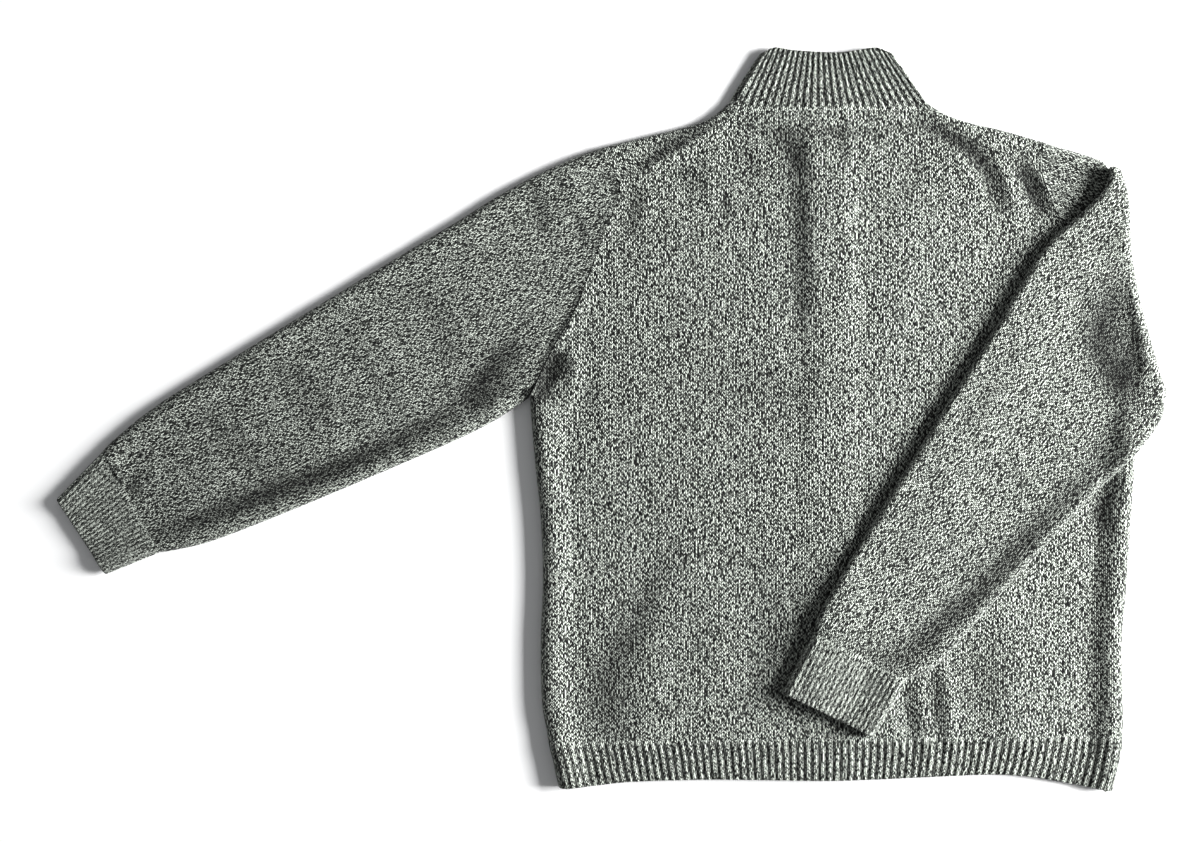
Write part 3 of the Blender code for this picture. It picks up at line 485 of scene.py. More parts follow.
CREASES = drawn([  # height, width, sharpness, points
    (3.4, 27, 6, [(-7, 700), (-7, 610), (-6, 520), (-4, 440)]),  # over the meeting edges
    (2.2, 27, 5, [(-5, 540), (-4, 360), (-4, 160), (-4, -30)]),
    (5.0, 130, 2, [(-4, 690), (-4, 20)]),  # the whole back stands highest there
    (-1.4, 8, 2, [(4, 668), (6, 645), (6, 615)]),
    (-1.8, 13, 2, [(-94, 662), (-64, 653), (-48, 638), (-40, 612), (-38, 560), (-36, 430)]),
    (-1.6, 4.5, 2, [(-92, 658), (-40, 653), (10, 652), (60, 655), (92, 662)]),
    (-1.6, 12, 2, [(-62, 655), (-44, 636), (-38, 606)]),
    (2.4, 8, 2, [(-104, 670), (-60, 667), (0, 668), (60, 668), (98, 670)]),  # the neck's linked edge
    (1.5, 8, 2, [(-120, 650), (-124, 606), (-120, 572)]),
    (-1.6, 6, 2, [(-113, 592), (-110, 577), (-108, 564)]),
    (-1.3, 8, 2, [(-152, 622), (-146, 600), (-142, 580)]),
    (-1.4, 8, 2, [(-94, 640), (-84, 616), (-80, 596)]),
    (-1.4, 6, 2, [(-203, 596), (-202, 570), (-209, 552)]),
    (1.4, 7, 2, [(-190, 606), (-187, 580), (-190, 556)]),
    (1.3, 40, 2, [(-190, 610), (-150, 490)]),  # left shoulder blade
    (-2.6, 6, 2, [(-100, 680), (-120, 667), (-142, 655), (-182, 630), (-204, 614)]),  # along its seam
    (2.2, 7, 2, [(-104, 664), (-120, 654), (-140, 641), (-172, 620), (-196, 604)]),
    (-3.8, 10, 2, [(70, 672), (96, 657), (120, 645), (143, 629), (154, 610), (160, 590), (168, 570)]),
    (2.0, 8, 2, [(100, 634), (124, 620), (140, 596), (146, 572)]),
    (-4.4, 9, 2, [(180, 626), (192, 608), (200, 590), (210, 566)]),  # below the right shoulder
    (2.6, 6, 2, [(165, 622), (172, 606), (178, 586), (184, 562)]),
    (-1.4, 7, 2, [(202, 636), (212, 622), (218, 612)]),
    (-1.2, 10, 2, [(84, 640), (78, 606), (74, 584)]),
    (-6.5, 9, 2, [(-276, 436), (-283, 416), (-290, 398), (-294, 380)]),  # left armpit
    (3.4, 8, 2, [(-263, 446), (-259, 416), (-266, 386), (-277, 352)]),
    (2.2, 5, 2, [(-238, 505), (-262, 462), (-284, 428), (-302, 396)]),
    (-1.4, 9, 2, [(-244, 408), (-246, 388), (-244, 370)]),
    (-1.8, 15, 2, [(-164, 245), (-184, 200), (-200, 160), (-210, 128)]),  # lower left
    (-2.6, 20, 2, [(-204, 164), (-224, 118), (-228, 78), (-216, 30)]),
    (1.4, 14, 2, [(-172, 150), (-186, 100), (-186, 50)]),
    (-1.4, 10, 2, [(270, 330), (266, 270), (262, 190), (262, 100), (260, 20), (260, -12)]),
    (-2.4, 10, 2, [(284, 318), (276, 296), (264, 268), (280, 250)]),  # below the folded sleeve
    (1.8, 8, 2, [(56, 104), (56, 70), (60, 30)]),  # below the folded cuff
    (-1.8, 7, 2, [(70, 110), (74, 76), (78, 40)]),
    (2.4, 8, 2, [(80, 118), (87, 80), (93, 42), (94, 10)]),
    (-2.2, 7, 2, [(96, 118), (100, 80), (106, 40)]),
    (2.1, 8, 2, [(108, 132), (114, 90), (116, 50), (118, 10)]),
    (3.0, 30, 2, [(170, 205), (182, 130), (184, 60), (180, 10)]),
    (-1.4, 16, 2, [(138, 150), (148, 104), (150, 56)]),
    (-0.9, 22, 2, [(-150, 420), (-70, 395), (10, 410)]),
    (0.9, 26, 2, [(-190, 330), (-90, 300), (20, 320)]),
    (1.0, 20, 2, [(-140, 240), (-120, 150), (-128, 70)]),
    (-1.0, 18, 2, [(-84, 250), (-66, 160), (-74, 60)]),
    (0.9, 24, 2, [(90, 610), (70, 520), (60, 440)]),
    (1.6, 36, 2, [(-330, 530), (-500, 425), (-660, 325)]),  # the left sleeve's middle
    (-3.2, 11, 2, [(-352, 402), (-402, 366), (-450, 340), (-500, 318), (-560, 296), (-640, 266),
                   (-732, 234)]),
    (-3.4, 15, 2, [(-314, 448), (-336, 424), (-356, 398), (-372, 376)]),
    (1.6, 9, 2, [(-300, 412), (-330, 392), (-352, 372)]),
    (-2.0, 8, 2, [(-304, 604), (-296, 576), (-294, 548)]),
    (2.0, 8, 2, [(-266, 622), (-262, 596), (-256, 566)]),
    (-1.6, 6, 2, [(-262, 580), (-256, 556), (-250, 538)]),
    (2.2, 9, 2, [(-722, 332), (-714, 312), (-706, 296)]),
    (-2.0, 9, 2, [(-692, 318), (-706, 296), (-722, 276)]),
    (1.4, 9, 2, [(-692, 352), (-650, 380), (-600, 406), (-540, 436)]),
    (-1.0, 12, 2, [(-640, 372), (-590, 330), (-560, 300)]),
    (1.2, 14, 2, [(-480, 470), (-440, 420), (-430, 370)]),
    (-1.1, 13, 2, [(-420, 505), (-392, 450), (-388, 410)]),
    (-1.0, 16, 2, [(-560, 425), (-530, 385), (-528, 345)]),
])
Wave = namedtuple("Wave", "x y start height")
WAVES = 14
WAVE_LENGTHS = (16.0, 70.0)
WAVE_HEIGHT = 0.11


def chance_waves(seed):
    """A few waves in chance directions, for small unevenness."""
    chance = np.random.default_rng(seed)
    made = []
    for length in np.geomspace(*WAVE_LENGTHS, WAVES):
        way = chance.uniform(0, 2 * math.pi)
        start = chance.uniform(0, 2 * math.pi)
        size = WAVE_HEIGHT * chance.uniform(0.4, 1.0)
        pace = 2 * math.pi / length
        made.append(Wave(pace * math.cos(way), pace * math.sin(way), start, size))
    return made


def uneven(x, y, waves):
    return sum(w.height * np.sin(w.x * x + w.y * y + w.start) for w in waves)


def creases(x, y, table):
    """Height that a table of creases adds at these places, and how deep they lie in its hollows."""
    total = np.zeros(np.shape(x))
    depth = np.zeros(np.shape(x))
    for crease in table:
        low = crease.line.min(axis=0) - REACH * crease.width
        high = crease.line.max(axis=0) + REACH * crease.width
        near = (x > low[0]) & (x < high[0]) & (y > low[1]) & (y < high[1])
        if not near.any():
            continue
        distance, share = nearest(x[near], y[near], crease.line)
        fade = np.sin(math.pi * np.clip(share, 0.01, 0.99)) ** END_FADE
        form = crease.height * np.exp(-(distance / crease.width) ** crease.sharpness) * fade
        total[near] += form
        depth[near] += np.maximum(-form, 0)
    return total, depth


def roll(distance, edge):
    """Half the distance between the walls, this far in from where a turned edge becomes level."""
    return SPREAD + (edge.tall - SPREAD) * (1 - smooth_step(distance, 0, edge.fade))


BODY_WAVES = chance_waves(11)
SEAM_RIDGE = 1.0  # how high the cloth stands over a linked seam
SEAM_WIDTH = 4.4
LEAST = FLOOR + CLOTH + 0.2  # the upper wall's middle where it touches the lower wall
SOFTNESS = 0.5
SEWN = [LEFT_HOLE, RIGHT_HOLE, spline(LEFT_SHOULDER_SEAM), spline(RIGHT_SHOULDER_SEAM)]


def seam_ridge(x, y, line):
    """The soft ridge along a linked seam, whose allowances lie inside."""
    distance, _ = nearest(x, y, line)
    return SEAM_RIDGE * np.exp(-(distance / SEAM_WIDTH) ** 2)


def above_floor(height):
    """The height, eased so that the upper wall never sinks into the lower one."""
    over = height - LEAST
    return LEAST + (over + np.sqrt(over ** 2 + SOFTNESS)) / 2


def forms(x, y):
    """Height that creases, seams and unevenness add to the upper layer."""
    total = creases(x, y, CREASES)[0] + uneven(x, y, BODY_WAVES)
    return total + sum(seam_ridge(x, y, line) for line in SEWN)


def painted_hollow_shade(x, y):
    """Painted shade in the hollows of the creases, as a depth of furrow."""
    return np.clip(HOLLOW_PAINTED_SHADE * creases(x, y, CREASES)[1], 0, DARKEST)


def upper(x, y):
    """Middle of the upper wall at a place on the body."""
    x, y = np.asarray(x, float), np.asarray(y, float)
    from_left = x - side_x(y, LEFT_SIDE) - CLOTH / 2 - LEFT_EDGE.wide
    from_right = side_x(y, RIGHT_SIDE) - x - CLOTH / 2 - RIGHT_EDGE.wide
    above = smooth_step(y, ARMPIT_Y, ARMPIT_Y + ROLL_FADE)
    rolled = roll(from_left, LEFT_EDGE) + roll(from_right, RIGHT_EDGE) - 2 * SPREAD
    return above_floor(UPPER + 2 * rolled * (1 - above) + forms(x, y))


print("upper layer:", UPPER, "mm up; at the left side's roll", upper([-285.0], [200.0]).round(1))

# %% [markdown]
# Each piece is a closed wall of cloth. Its middle is a net of points in rows and columns, and every point
# knows which way the cloth faces. The outer and inner faces lie half a thickness to each side. Knitting is
# drawn by position, so each corner also carries its place on the flat knitted panel in millimetres. A
# tube's last column joins its first. Free edges are thinned over the last millimetre, so they look rounded.

# %% Walls of cloth
SHARP_ANGLE = math.radians(55)
EDGE_THIN = 1.4  # over this distance a free edge is rounded
Row = namedtuple("Row", "middle facing knit furrow relief share lower", defaults=(0.0, 0.0, 1.0, None))


def rounded(distance):
    """Share of the full thickness this far from a free edge."""
    return np.sqrt(np.clip(1 - (1 - np.minimum(np.asarray(distance, float) / EDGE_THIN, 1)) ** 2, 0.02, 1))


def cloth(name, finish, rows, ring=False, switch=0):
    """A closed wall from rows of points. A row has its points in the middle of the wall, the ways they
    face, their knit places on the flat panel (one more on a ring), the painted shade of a furrow or hollow,
    the extra height of the outer face, the share of the full thickness, and the knit places of a tube's lower
    wall, which begins at the column called switch."""
    middle, facing, knit = [np.array([row[k] for row in rows]) for k in range(3)]
    count, cols = middle.shape[:2]
    furrow, relief, share = [np.array([np.broadcast_to(row[k], cols) for row in rows]) for k in (3, 4, 5)]
    knits = np.stack([knit, knit if rows[0].lower is None else np.array([row.lower for row in rows])])
    outer = middle + facing * (CLOTH / 2 * share + relief)[..., None]
    inner = middle - facing * (CLOTH / 2 * share)[..., None]
    points = to_frame(np.concatenate([outer.reshape(-1, 3), inner.reshape(-1, 3)]))

    spans = cols if ring else cols - 1
    r, c = np.meshgrid(np.arange(count - 1), np.arange(spans), indexing="ij")
    quads = np.stack([np.stack(k, -1) for k in ((r, c), (r, c + 1), (r + 1, c + 1), (r + 1, c))], 2)
    quads = quads.reshape(-1, 4, 2)
    sides = [(quads, [0, 0, 0, 0]), (quads[:, ::-1], [1, 1, 1, 1])]
    c = np.arange(spans)
    for row, order in ((0, (1, 0, 0, 1)), (count - 1, (0, 1, 1, 0))):
        ends = [np.stack([np.full(spans, row), c + k], -1) for k in order]
        sides.append((np.stack(ends, 1), [0, 0, 1, 1]))
    r = np.arange(count - 1)
    free_sides = [] if ring else [(0, (0, 1, 1, 0)), (cols - 1, (1, 0, 0, 1))]
    for col, order in free_sides:
        ends = [np.stack([r + k, np.full(count - 1, col)], -1) for k in order]
        sides.append((np.stack(ends, 1), [0, 0, 1, 1]))
    corners = np.concatenate([f for f, _ in sides])
    inside = np.concatenate([np.broadcast_to(s, f.shape[:2]) for f, s in sides])
    faces = corners[..., 0] * cols + corners[..., 1] % cols + inside * count * cols
    under = (corners[..., 1].min(axis=1, keepdims=True) >= switch).astype(int)
    spots = knits[under, corners[..., 0], corners[..., 1]]
    first = points[faces[:len(quads)]]
    across = np.cross(first[:, 2] - first[:, 0], first[:, 3] - first[:, 1])
    if (across * facing[quads[:, 0, 0], quads[:, 0, 1]]).sum() < 0:
        faces, spots = faces[:, ::-1], spots[:, ::-1]

    mesh = bpy.data.meshes.new("knitted_" + name)
    mesh.from_pydata(points.tolist(), [], faces.tolist())
    mesh.uv_layers.new(name="knit").data.foreach_set("uv", spots.reshape(-1))
    # painted shade of rib furrows and crease hollows, for the wool's finish
    shade = mesh.attributes.new("furrow", "FLOAT", "POINT")
    shade.data.foreach_set("value", np.concatenate([furrow.reshape(-1)] * 2))
    mesh.shade_smooth()
    mesh.set_sharp_from_angle(angle=SHARP_ANGLE)
    mesh.materials.append(finish)
    made = bpy.data.objects.new("knitted_" + name, mesh)
    bpy.context.scene.collection.objects.link(made)
    print(name, count, "rows of", cols, "points,", 2 * len(faces), "triangles")
    return made


def turn(place, inward, edge, angle):
    """A point of a turned edge: its place and outward direction, the angle being 90 degrees on top."""
    reach = CLOTH / 2 + edge.wide * (1 - math.cos(angle))
    point = np.array([*(place + np.asarray(inward) * reach), FLOOR + edge.tall * (1 + math.sin(angle))])
    outward = np.array([*(-np.asarray(inward) * edge.tall * math.cos(angle)), edge.wide * math.sin(angle)])
    return point, unit(outward)


def turned_length(edge, angle):
    """Length of the outer face from this angle of a turned edge to its top or bottom."""
    angles = np.linspace(abs(angle), math.pi / 2, 12)
    wide, tall = edge.wide + CLOTH / 2, edge.tall + CLOTH / 2
    return run(np.column_stack([wide * np.cos(angles), tall * np.sin(angles)]))[-1]


# %% [markdown]
# The back is one panel. Below the armpits its rows run level from side to side, and above them they are
# bent to fit between the armholes, up to the shoulder seams and the neck. Its stitches stand upright all
# the way, because the panel is knitted upwards from the hem.

# %% Back
SIDE_TURN = [math.radians(a) for a in (0.5, 14, 28, 42, 56, 68, 80, 90)]
ROLL_COLUMNS = [2.0, 4.5, 7.5, 11.0, 14.5, 18.0, 22.0]
STEP = 3.8  # size of the net's meshes
UP = np.array([0.0, 0.0, 1.0])
DOWN = -UP
BACK_COLUMNS = np.linspace(0, 1, 140)[1:-1]
BACK_LOW_ROWS = np.linspace(0, 1, round((ARMPIT_Y - HEM_SEAM_Y) / STEP))
BACK_HIGH_ROWS = np.linspace(0, 1, 77)[1:]
SHOULDER_COLUMNS = 44  # columns that meet along each back-shoulder seam
EXTRA_FADE = 0.08  # where above the armpit the turned sides' width has died away


def body_row(ends, turns, columns, y_of=None):
    """A row across the body from one turned side to the other: its middles, the ways they face and how far
    across the panel they are. ends: its heights at the sides; columns: gives the level places."""
    left, right = [np.array([side_x(y, edge), y]) for y, edge in zip(ends, (LEFT_SIDE, RIGHT_SIDE))]
    start = [turn(left, (1, 0), LEFT_EDGE, a) for a in turns]
    end = [turn(right, (-1, 0), RIGHT_EDGE, a) for a in reversed(turns)]
    first = left[0] + CLOTH / 2 + LEFT_EDGE.wide
    last = right[0] - CLOTH / 2 - RIGHT_EDGE.wide
    xs = columns(first, last)
    ys = np.interp(xs, [left[0], right[0]], ends) if y_of is None else y_of(xs)
    middle = np.vstack([[p for p, _ in start], np.column_stack([xs, ys, upper(xs, ys)]), [p for p, _ in end]])
    facing = np.vstack([[n for _, n in start], np.tile(UP, (len(xs), 1)), [n for _, n in end]])
    left_arc = np.array([turned_length(LEFT_EDGE, a) for a in turns])
    right_arc = np.array([turned_length(RIGHT_EDGE, a) for a in turns])
    return middle, facing, np.concatenate([first - left_arc, xs, last + right_arc[::-1]])


def back_columns(first, last):
    low, high = first + ROLL_COLUMNS[-1], last - ROLL_COLUMNS[-1]
    between = [low + (high - low) * s for s in BACK_COLUMNS]
    return np.array([first + d for d in ROLL_COLUMNS] + between + [last - d for d in reversed(ROLL_COLUMNS)])


def shaded(rows, least=-1.0):
    """The rows with painted shade in the creases' hollows, where the cloth faces up more than this."""
    return [row._replace(furrow=painted_hollow_shade(*row.middle[:, :2].T) * (row.facing[:, 2] > least)) for row in rows]


def armhole_above(hole, clear):
    """The part of an armhole below the back-shoulder seam, from the armpit up, moved clear of the seam."""
    return aside(hole[SPLINE_STEPS * ARMHOLE_MEETS_SEAM:], clear)[::-1]


rows = []
for share in BACK_LOW_ROWS:
    ends = [(1 - share) * (hem_seam(x) + SEAM / 2) + share * ARMPIT_Y for x in (-HEM_REACH, HEM_REACH)]
    middle, facing, knit_x = body_row(ends, SIDE_TURN, back_columns)
    rows.append(Row(middle, facing, np.column_stack([knit_x, middle[:, 1]])))
low, low_knit = rows[-1].middle[:, :2], rows[-1].knit
each = np.linspace(0, 1, SHOULDER_COLUMNS)
neck = spline(BACK_NECK) + (0, -SEAM / 2)
high = np.vstack([at(aside(spline(LEFT_SHOULDER_SEAM), SEAM / 2)[::-1], each)[:-1],
                  at(neck, np.linspace(0, 1, len(low) - 2 * SHOULDER_COLUMNS + 2)),
                  at(aside(spline(RIGHT_SHOULDER_SEAM), -SEAM / 2), each)[1:]])
left_side, right_side = armhole_above(LEFT_HOLE, SEAM / 2), armhole_above(RIGHT_HOLE, -SEAM / 2)
for share in BACK_HIGH_ROWS:
    start = at(left_side, share) if share < 1 else high[0]
    end = at(right_side, share) if share < 1 else high[-1]
    plan = fill_row(low, high, start, end, share)
    early = 1 - smooth_step(share, 0, EXTRA_FADE)
    middle = np.column_stack([plan, upper(*plan.T)])
    rows.append(Row(middle, np.tile(UP, (len(plan), 1)), plan + early * (low_knit - low)))
back = cloth("back", jersey_finish, shaded(rows))

# %% [markdown]
# Each front lies under the back, turns up round the shoulder and ends at the back-shoulder seam. The two
# fronts meet edge to edge along the middle, out of sight. Their plain faces are finished like the back's.

# %% Fronts
Half = namedtuple("Half", "sign side edge hole shoulder seam neckline collar_top")
LEFT = Half(-1, LEFT_SIDE, LEFT_EDGE, LEFT_HOLE, LEFT_SHOULDER, LEFT_SHOULDER_SEAM, LEFT_NECKLINE,
            LEFT_COLLAR_TOP)
RIGHT = Half(1, RIGHT_SIDE, RIGHT_EDGE, RIGHT_HOLE, RIGHT_SHOULDER, RIGHT_SHOULDER_SEAM, RIGHT_NECKLINE,
             RIGHT_COLLAR_TOP)
FRONT_COLUMNS = np.linspace(0, 0.975, 56)  # columns of a front before its turned side
FRONT_LOW_ROWS = np.linspace(0, 1, 58)
FRONT_CENTRE_ROWS = np.linspace(0, 1, 34)[1:-1]
NECKLINE_STEPS = np.linspace(0, 1, 33)
CORNER_ROW = -12  # the row that ends at the armhole's corner
CORNER_SHARE = 0.16
SHOULDER_TURN = [math.radians(a) for a in (-90, -68, -45, -22, 0, 22, 45, 68, 90)]
FLAP_ROWS = np.linspace(0, 1, 13)[1:]


def front_row(half, y_side, y_centre, shares, turns, y_of=None):
    """One row of a front from the centre edge to the side seam: middles, ways they face, places across."""
    side = np.array([side_x(y_side, half.side), y_side])
    turned = [turn(side, (-half.sign, 0), half.edge, -a) for a in reversed(turns)]
    level = side[0] - half.sign * (CLOTH / 2 + half.edge.wide)
    centre = centre_x(y_centre) + half.sign * SEAM / 2
    xs = centre + (level - centre) * shares
    ys = y_of(xs) if y_of else y_centre + (y_side - y_centre) * (xs - centre) / (side[0] - centre)
    middle = np.vstack([np.column_stack([xs, ys, np.full(len(xs), FLOOR)]), [p for p, _ in turned]])
    facing = np.vstack([np.tile(DOWN, (len(xs), 1)), [n for _, n in turned]])
    arc = np.array([turned_length(half.edge, a) for a in reversed(turns)])
    return middle, facing, np.concatenate([xs, level + half.sign * arc])


def shoulder_lines(half, count):
    """Where a front turns over the shoulder: outline points, inward directions and the seam's points."""
    shares = np.linspace(0, 1, count)
    outline = at(spline(half.shoulder), shares)
    seam = at(aside(spline(half.seam), half.sign * SEAM / 2), shares)
    hole = aside(half.hole, -half.sign * SEAM / 2)
    outline[-1] = hole[0]
    outline[0, 0] += half.sign * SEAM / 2
    seam[0, 0] += half.sign * SEAM / 2
    seam[-1] = hole[SPLINE_STEPS * ARMHOLE_MEETS_SEAM]
    inward = unit(seam - outline)
    inward[-1] = headings(hole)[0]
    return outline, inward, seam, hole


def make_front(half, name):
    rows = []
    for share in FRONT_LOW_ROWS:
        y_side, y_centre = [(1 - share) * (hem_seam(x) + SEAM / 2) + share * ARMPIT_Y
                            for x in (half.sign * HEM_REACH, 0)]
        middle, facing, knit_x = front_row(half, y_side, y_centre, FRONT_COLUMNS, SIDE_TURN)
        rows.append(Row(middle, facing, np.column_stack([knit_x, middle[:, 1]])))
    low, low_knit = rows[-1].middle[:, :2], rows[-1].knit
    count = len(low)
    outline, inward, seam, hole = shoulder_lines(half, count)
    turn_reach = CLOTH / 2 + SHOULDER_EDGE.wide
    high = outline + inward * turn_reach
    corner = SPLINE_STEPS * ARMHOLE_MEETS_SEAM
    outer = np.vstack([high[-1:], hole[corner:]])[::-1]
    neck = at(aside(spline(half.neckline), -half.sign * SEAM / 2), NECKLINE_STEPS)
    neck[0, 0] = centre_x(FRONT_NECK_Y) + half.sign * SEAM / 2
    neck[-1] = high[0]
    foot = run(np.vstack([low[:1], neck]))
    foot = foot[1] / foot[-1]
    starts = [((1 - s) * low[0] + s * neck[0], foot * s) for s in FRONT_CENTRE_ROWS]
    starts += [(point, foot + (1 - foot) * s) for point, s in zip(neck, NECKLINE_STEPS)]
    corner_row = starts[CORNER_ROW][1]
    for start, share in starts:
        up_side = np.interp(share, [0, corner_row, 1], [0, 1 - CORNER_SHARE, 1])
        plan = fill_row(low, high, start, at(outer, up_side), share)
        early = 1 - smooth_step(share, 0, EXTRA_FADE)
        middle = np.column_stack([plan, np.full(count, FLOOR)])
        rows.append(Row(middle, np.tile(DOWN, (count, 1)), plan + early * (low_knit - low)))

    level = rows[-1].knit
    whole = 2 * turned_length(SHOULDER_EDGE, 0)
    for angle in SHOULDER_TURN[1:]:
        turned = [turn(place, way, SHOULDER_EDGE, angle) for place, way in zip(outline, inward)]
        arc = turned_length(SHOULDER_EDGE, angle)
        arc = whole - arc if angle > 0 else arc
        rows.append(Row(np.array([p for p, _ in turned]), np.array([n for _, n in turned]), level + (0, arc)))
    top, top_knit = rows[-1].middle, rows[-1].knit
    flap = seam - top[:, :2]
    down_flap = np.column_stack([np.zeros(count), np.linalg.norm(flap, axis=1)])
    hole_line = hole[:corner + 1]
    hole_length = run(hole_line)[-1]
    for share in FLAP_ROWS:
        plan = top[:, :2] + share * flap
        if share < 1:
            end = at(hole_line, (turn_reach + share * (hole_length - turn_reach)) / hole_length)
            plan = fill_row(plan, plan, plan[0], end, 0)
        z = (1 - share) ** 2 * top[:, 2] + (1 - (1 - share) ** 2) * upper(*plan.T)
        rows.append(Row(np.column_stack([plan, z]), np.tile(UP, (count, 1)), top_knit + share * down_flap))
    return cloth(name, jersey_finish, shaded(rows, 0.5))


front_left = make_front(LEFT, "front_left")
front_right = make_front(RIGHT, "front_right")

# %% [markdown]
# A rib is a row of stitches that stands up beside one that falls back. The hem is knitted from the same
# yarn on thinner needles, and its ribs run up into the jersey's wales. Each rib is drawn with ten columns,
# so that its crest is round and its furrow is narrow; the furrow is dark from its depth and from painted
# shade.
# At the very end the cloth rounds over.

# %% Ribs
RIB_SAMPLES = 10
RIB_CREST = 0.7  # height of a rib over the wall's own face
RIB_FURROW = 0.75  # depth of the furrow under it
CREST_SHARPNESS = 0.75  # below one, crests are broad and furrows are narrow
RIB_BEGINS = 4.0  # over this distance from a seam the ribs rise
HEM_RIBS = 75
HEM_ROWS = [0, 0.35, 1.0, 2.0, 4.0]  # first rows above the free edge
HEM_LEVELS = 16
BAND = HEM_SEAM_Y - 5.0  # the band's height, to turn millimetres into shares
HEM_SHARES = np.unique(np.concatenate([np.array(HEM_ROWS) / BAND, np.linspace(4.0 / BAND, 1, HEM_LEVELS)]))


def rib_row(middle, facing, phases, way_along, strength, from_edge, shade=0.0):
    """A row of ribs. phases: places in ribs, whose crests are at the halves; way_along: the knit places'
    second number; from_edge: distance from the free edge. Ribs that face the floor stay level with it."""
    crest = (0.5 - 0.5 * np.cos(2 * math.pi * phases[:len(middle)])) ** CREST_SHARPNESS
    up = smooth_step(facing[:, 2], -0.6, 0.0)
    high = RIB_CREST * crest - RIB_FURROW * (1 - crest)
    low = -(RIB_CREST + RIB_FURROW) * (1 - crest)
    knit = np.column_stack([WALE * (2 * phases + 0.5), np.broadcast_to(way_along, len(phases))])
    # painted shade: dark in each furrow, or the crease hollows' painted shade where that is darker
    return Row(middle, facing, knit, np.maximum((1 - crest) * strength, shade),
               strength * (up * high + (1 - up) * low), rounded(from_edge))


def hem_level(level):
    """Height of a row of the hem as a function of x: 0 is the free edge, 1 the seam."""
    return lambda x: (1 - level) * hem_edge(x) + level * (hem_seam(x) - SEAM / 2)


def hem_row(level, middle, facing, phases, shade=0.0):
    strength = smooth_step((1 - level) * BAND, 0, RIB_BEGINS)
    return rib_row(middle, facing, phases, middle[:, 1], strength, level * BAND, shade)


def hem_columns(first, last):
    return first + (last - first) * np.linspace(0, HEM_RIBS, HEM_RIBS * RIB_SAMPLES + 1) / HEM_RIBS


turns = SIDE_TURN[:-1]
rows = []
for level in HEM_SHARES:
    y_of = hem_level(level)
    middle, facing, across = body_row([y_of(x) for x in (-HEM_REACH, HEM_REACH)], turns, hem_columns, y_of)
    first, last = across[len(turns)], across[-len(turns) - 1]
    phases = (across - first) / (last - first) * HEM_RIBS
    # the hem carries the painted shade of the creases' hollows too
    rows.append(hem_row(level, middle, facing, phases, painted_hollow_shade(*middle[:, :2].T)))
hem_back = cloth("hem_back", rib_finish, rows)

# %% [markdown]
# The two front hems carry the same ribs on the face that rests on the floor.

# %% Front hems
FRONT_RIBS = 38
FRONT_SHARES = np.linspace(0, 1, FRONT_RIBS * 6 + 1)


def make_hem_front(half, name):
    rows = []
    for level in HEM_SHARES[::2]:
        y_of = hem_level(level)
        y_side = y_of(half.sign * HEM_REACH)
        middle, facing, across = front_row(half, y_side, y_side, FRONT_SHARES, turns, y_of)
        phases = (across - across[0]) / (across[len(FRONT_SHARES) - 1] - across[0]) * FRONT_RIBS
        rows.append(hem_row(level, middle, facing, phases))
    return cloth(name, rib_finish, rows)


hem_front_left = make_hem_front(LEFT, "hem_front_left")
hem_front_right = make_hem_front(RIGHT, "hem_front_right")

# %% [markdown]
# The collar is a ribbed band that stands up from the neck and has fallen flat, so it goes round like a
# flattened tube that is open at the front. Its outline is walked first in small steps and then divided
# evenly, so that every rib is as wide as the next, round the sides too. A smooth linked edge joins it to
# the back.

# %% Collar
COLLAR_RIB = 6.4  # width of a rib
COLLAR_LEVELS = [0, 1.2, 2.4, 3.6, 5, 7, 10, 15, 20, 26, 32, 38, 44, 49, 53, 56, 58, 59, 59.65, 60]
COLLAR_HEIGHT = 60.0
COLLAR_TURN = np.radians(np.linspace(-90, 90, 19))
COLLAR_STEPS = np.linspace(0, 1, 80)
BAND_BEGINS = (1.0, 5.0)  # over these distances from a band's seam its ribs rise
COLLAR_FOLLOWS = 26.0  # above this height the collar ignores the back's creases
BAND_SAMPLES = 8  # columns of a rib on the collar and the cuffs


def rib_phases(length, ribs):
    """Places in ribs at even steps along an outline, and their distances along it."""
    phase = np.linspace(0, ribs, ribs * BAND_SAMPLES + 1)
    return phase, phase / ribs * length


def collar_floor(half):
    """The collar on the floor, from the centre front to the side: base, top and the ways they face."""
    base = at(aside(spline(half.neckline), half.sign * SEAM / 2), NECKLINE_STEPS)
    top = at(spline(half.collar_top), NECKLINE_STEPS)
    base[0, 0] = centre_x(FRONT_NECK_Y) + half.sign * SEAM
    top[0, 0] = base[0, 0]
    return [(np.array([*b, FLOOR]), np.array([*t, FLOOR]), DOWN, DOWN) for b, t in zip(base[:-1], top[:-1])]


def collar_turn(half, corner, next_to_it):
    """The collar's turned side, from the floor to the top."""
    foot = np.array(half.shoulder[0], float)
    foot[0] -= half.sign * SEAM / 2
    low_way = unit(np.array(half.seam[0], float) - foot)
    high_way = unit(np.array(next_to_it, float) - corner)
    turned = []
    for angle in COLLAR_TURN:
        base, low_face = turn(foot, low_way, SHOULDER_EDGE, angle)
        top, high_face = turn(np.array(corner, float), high_way, SHOULDER_EDGE, angle)
        turned.append((base, top, low_face, high_face))
    return turned


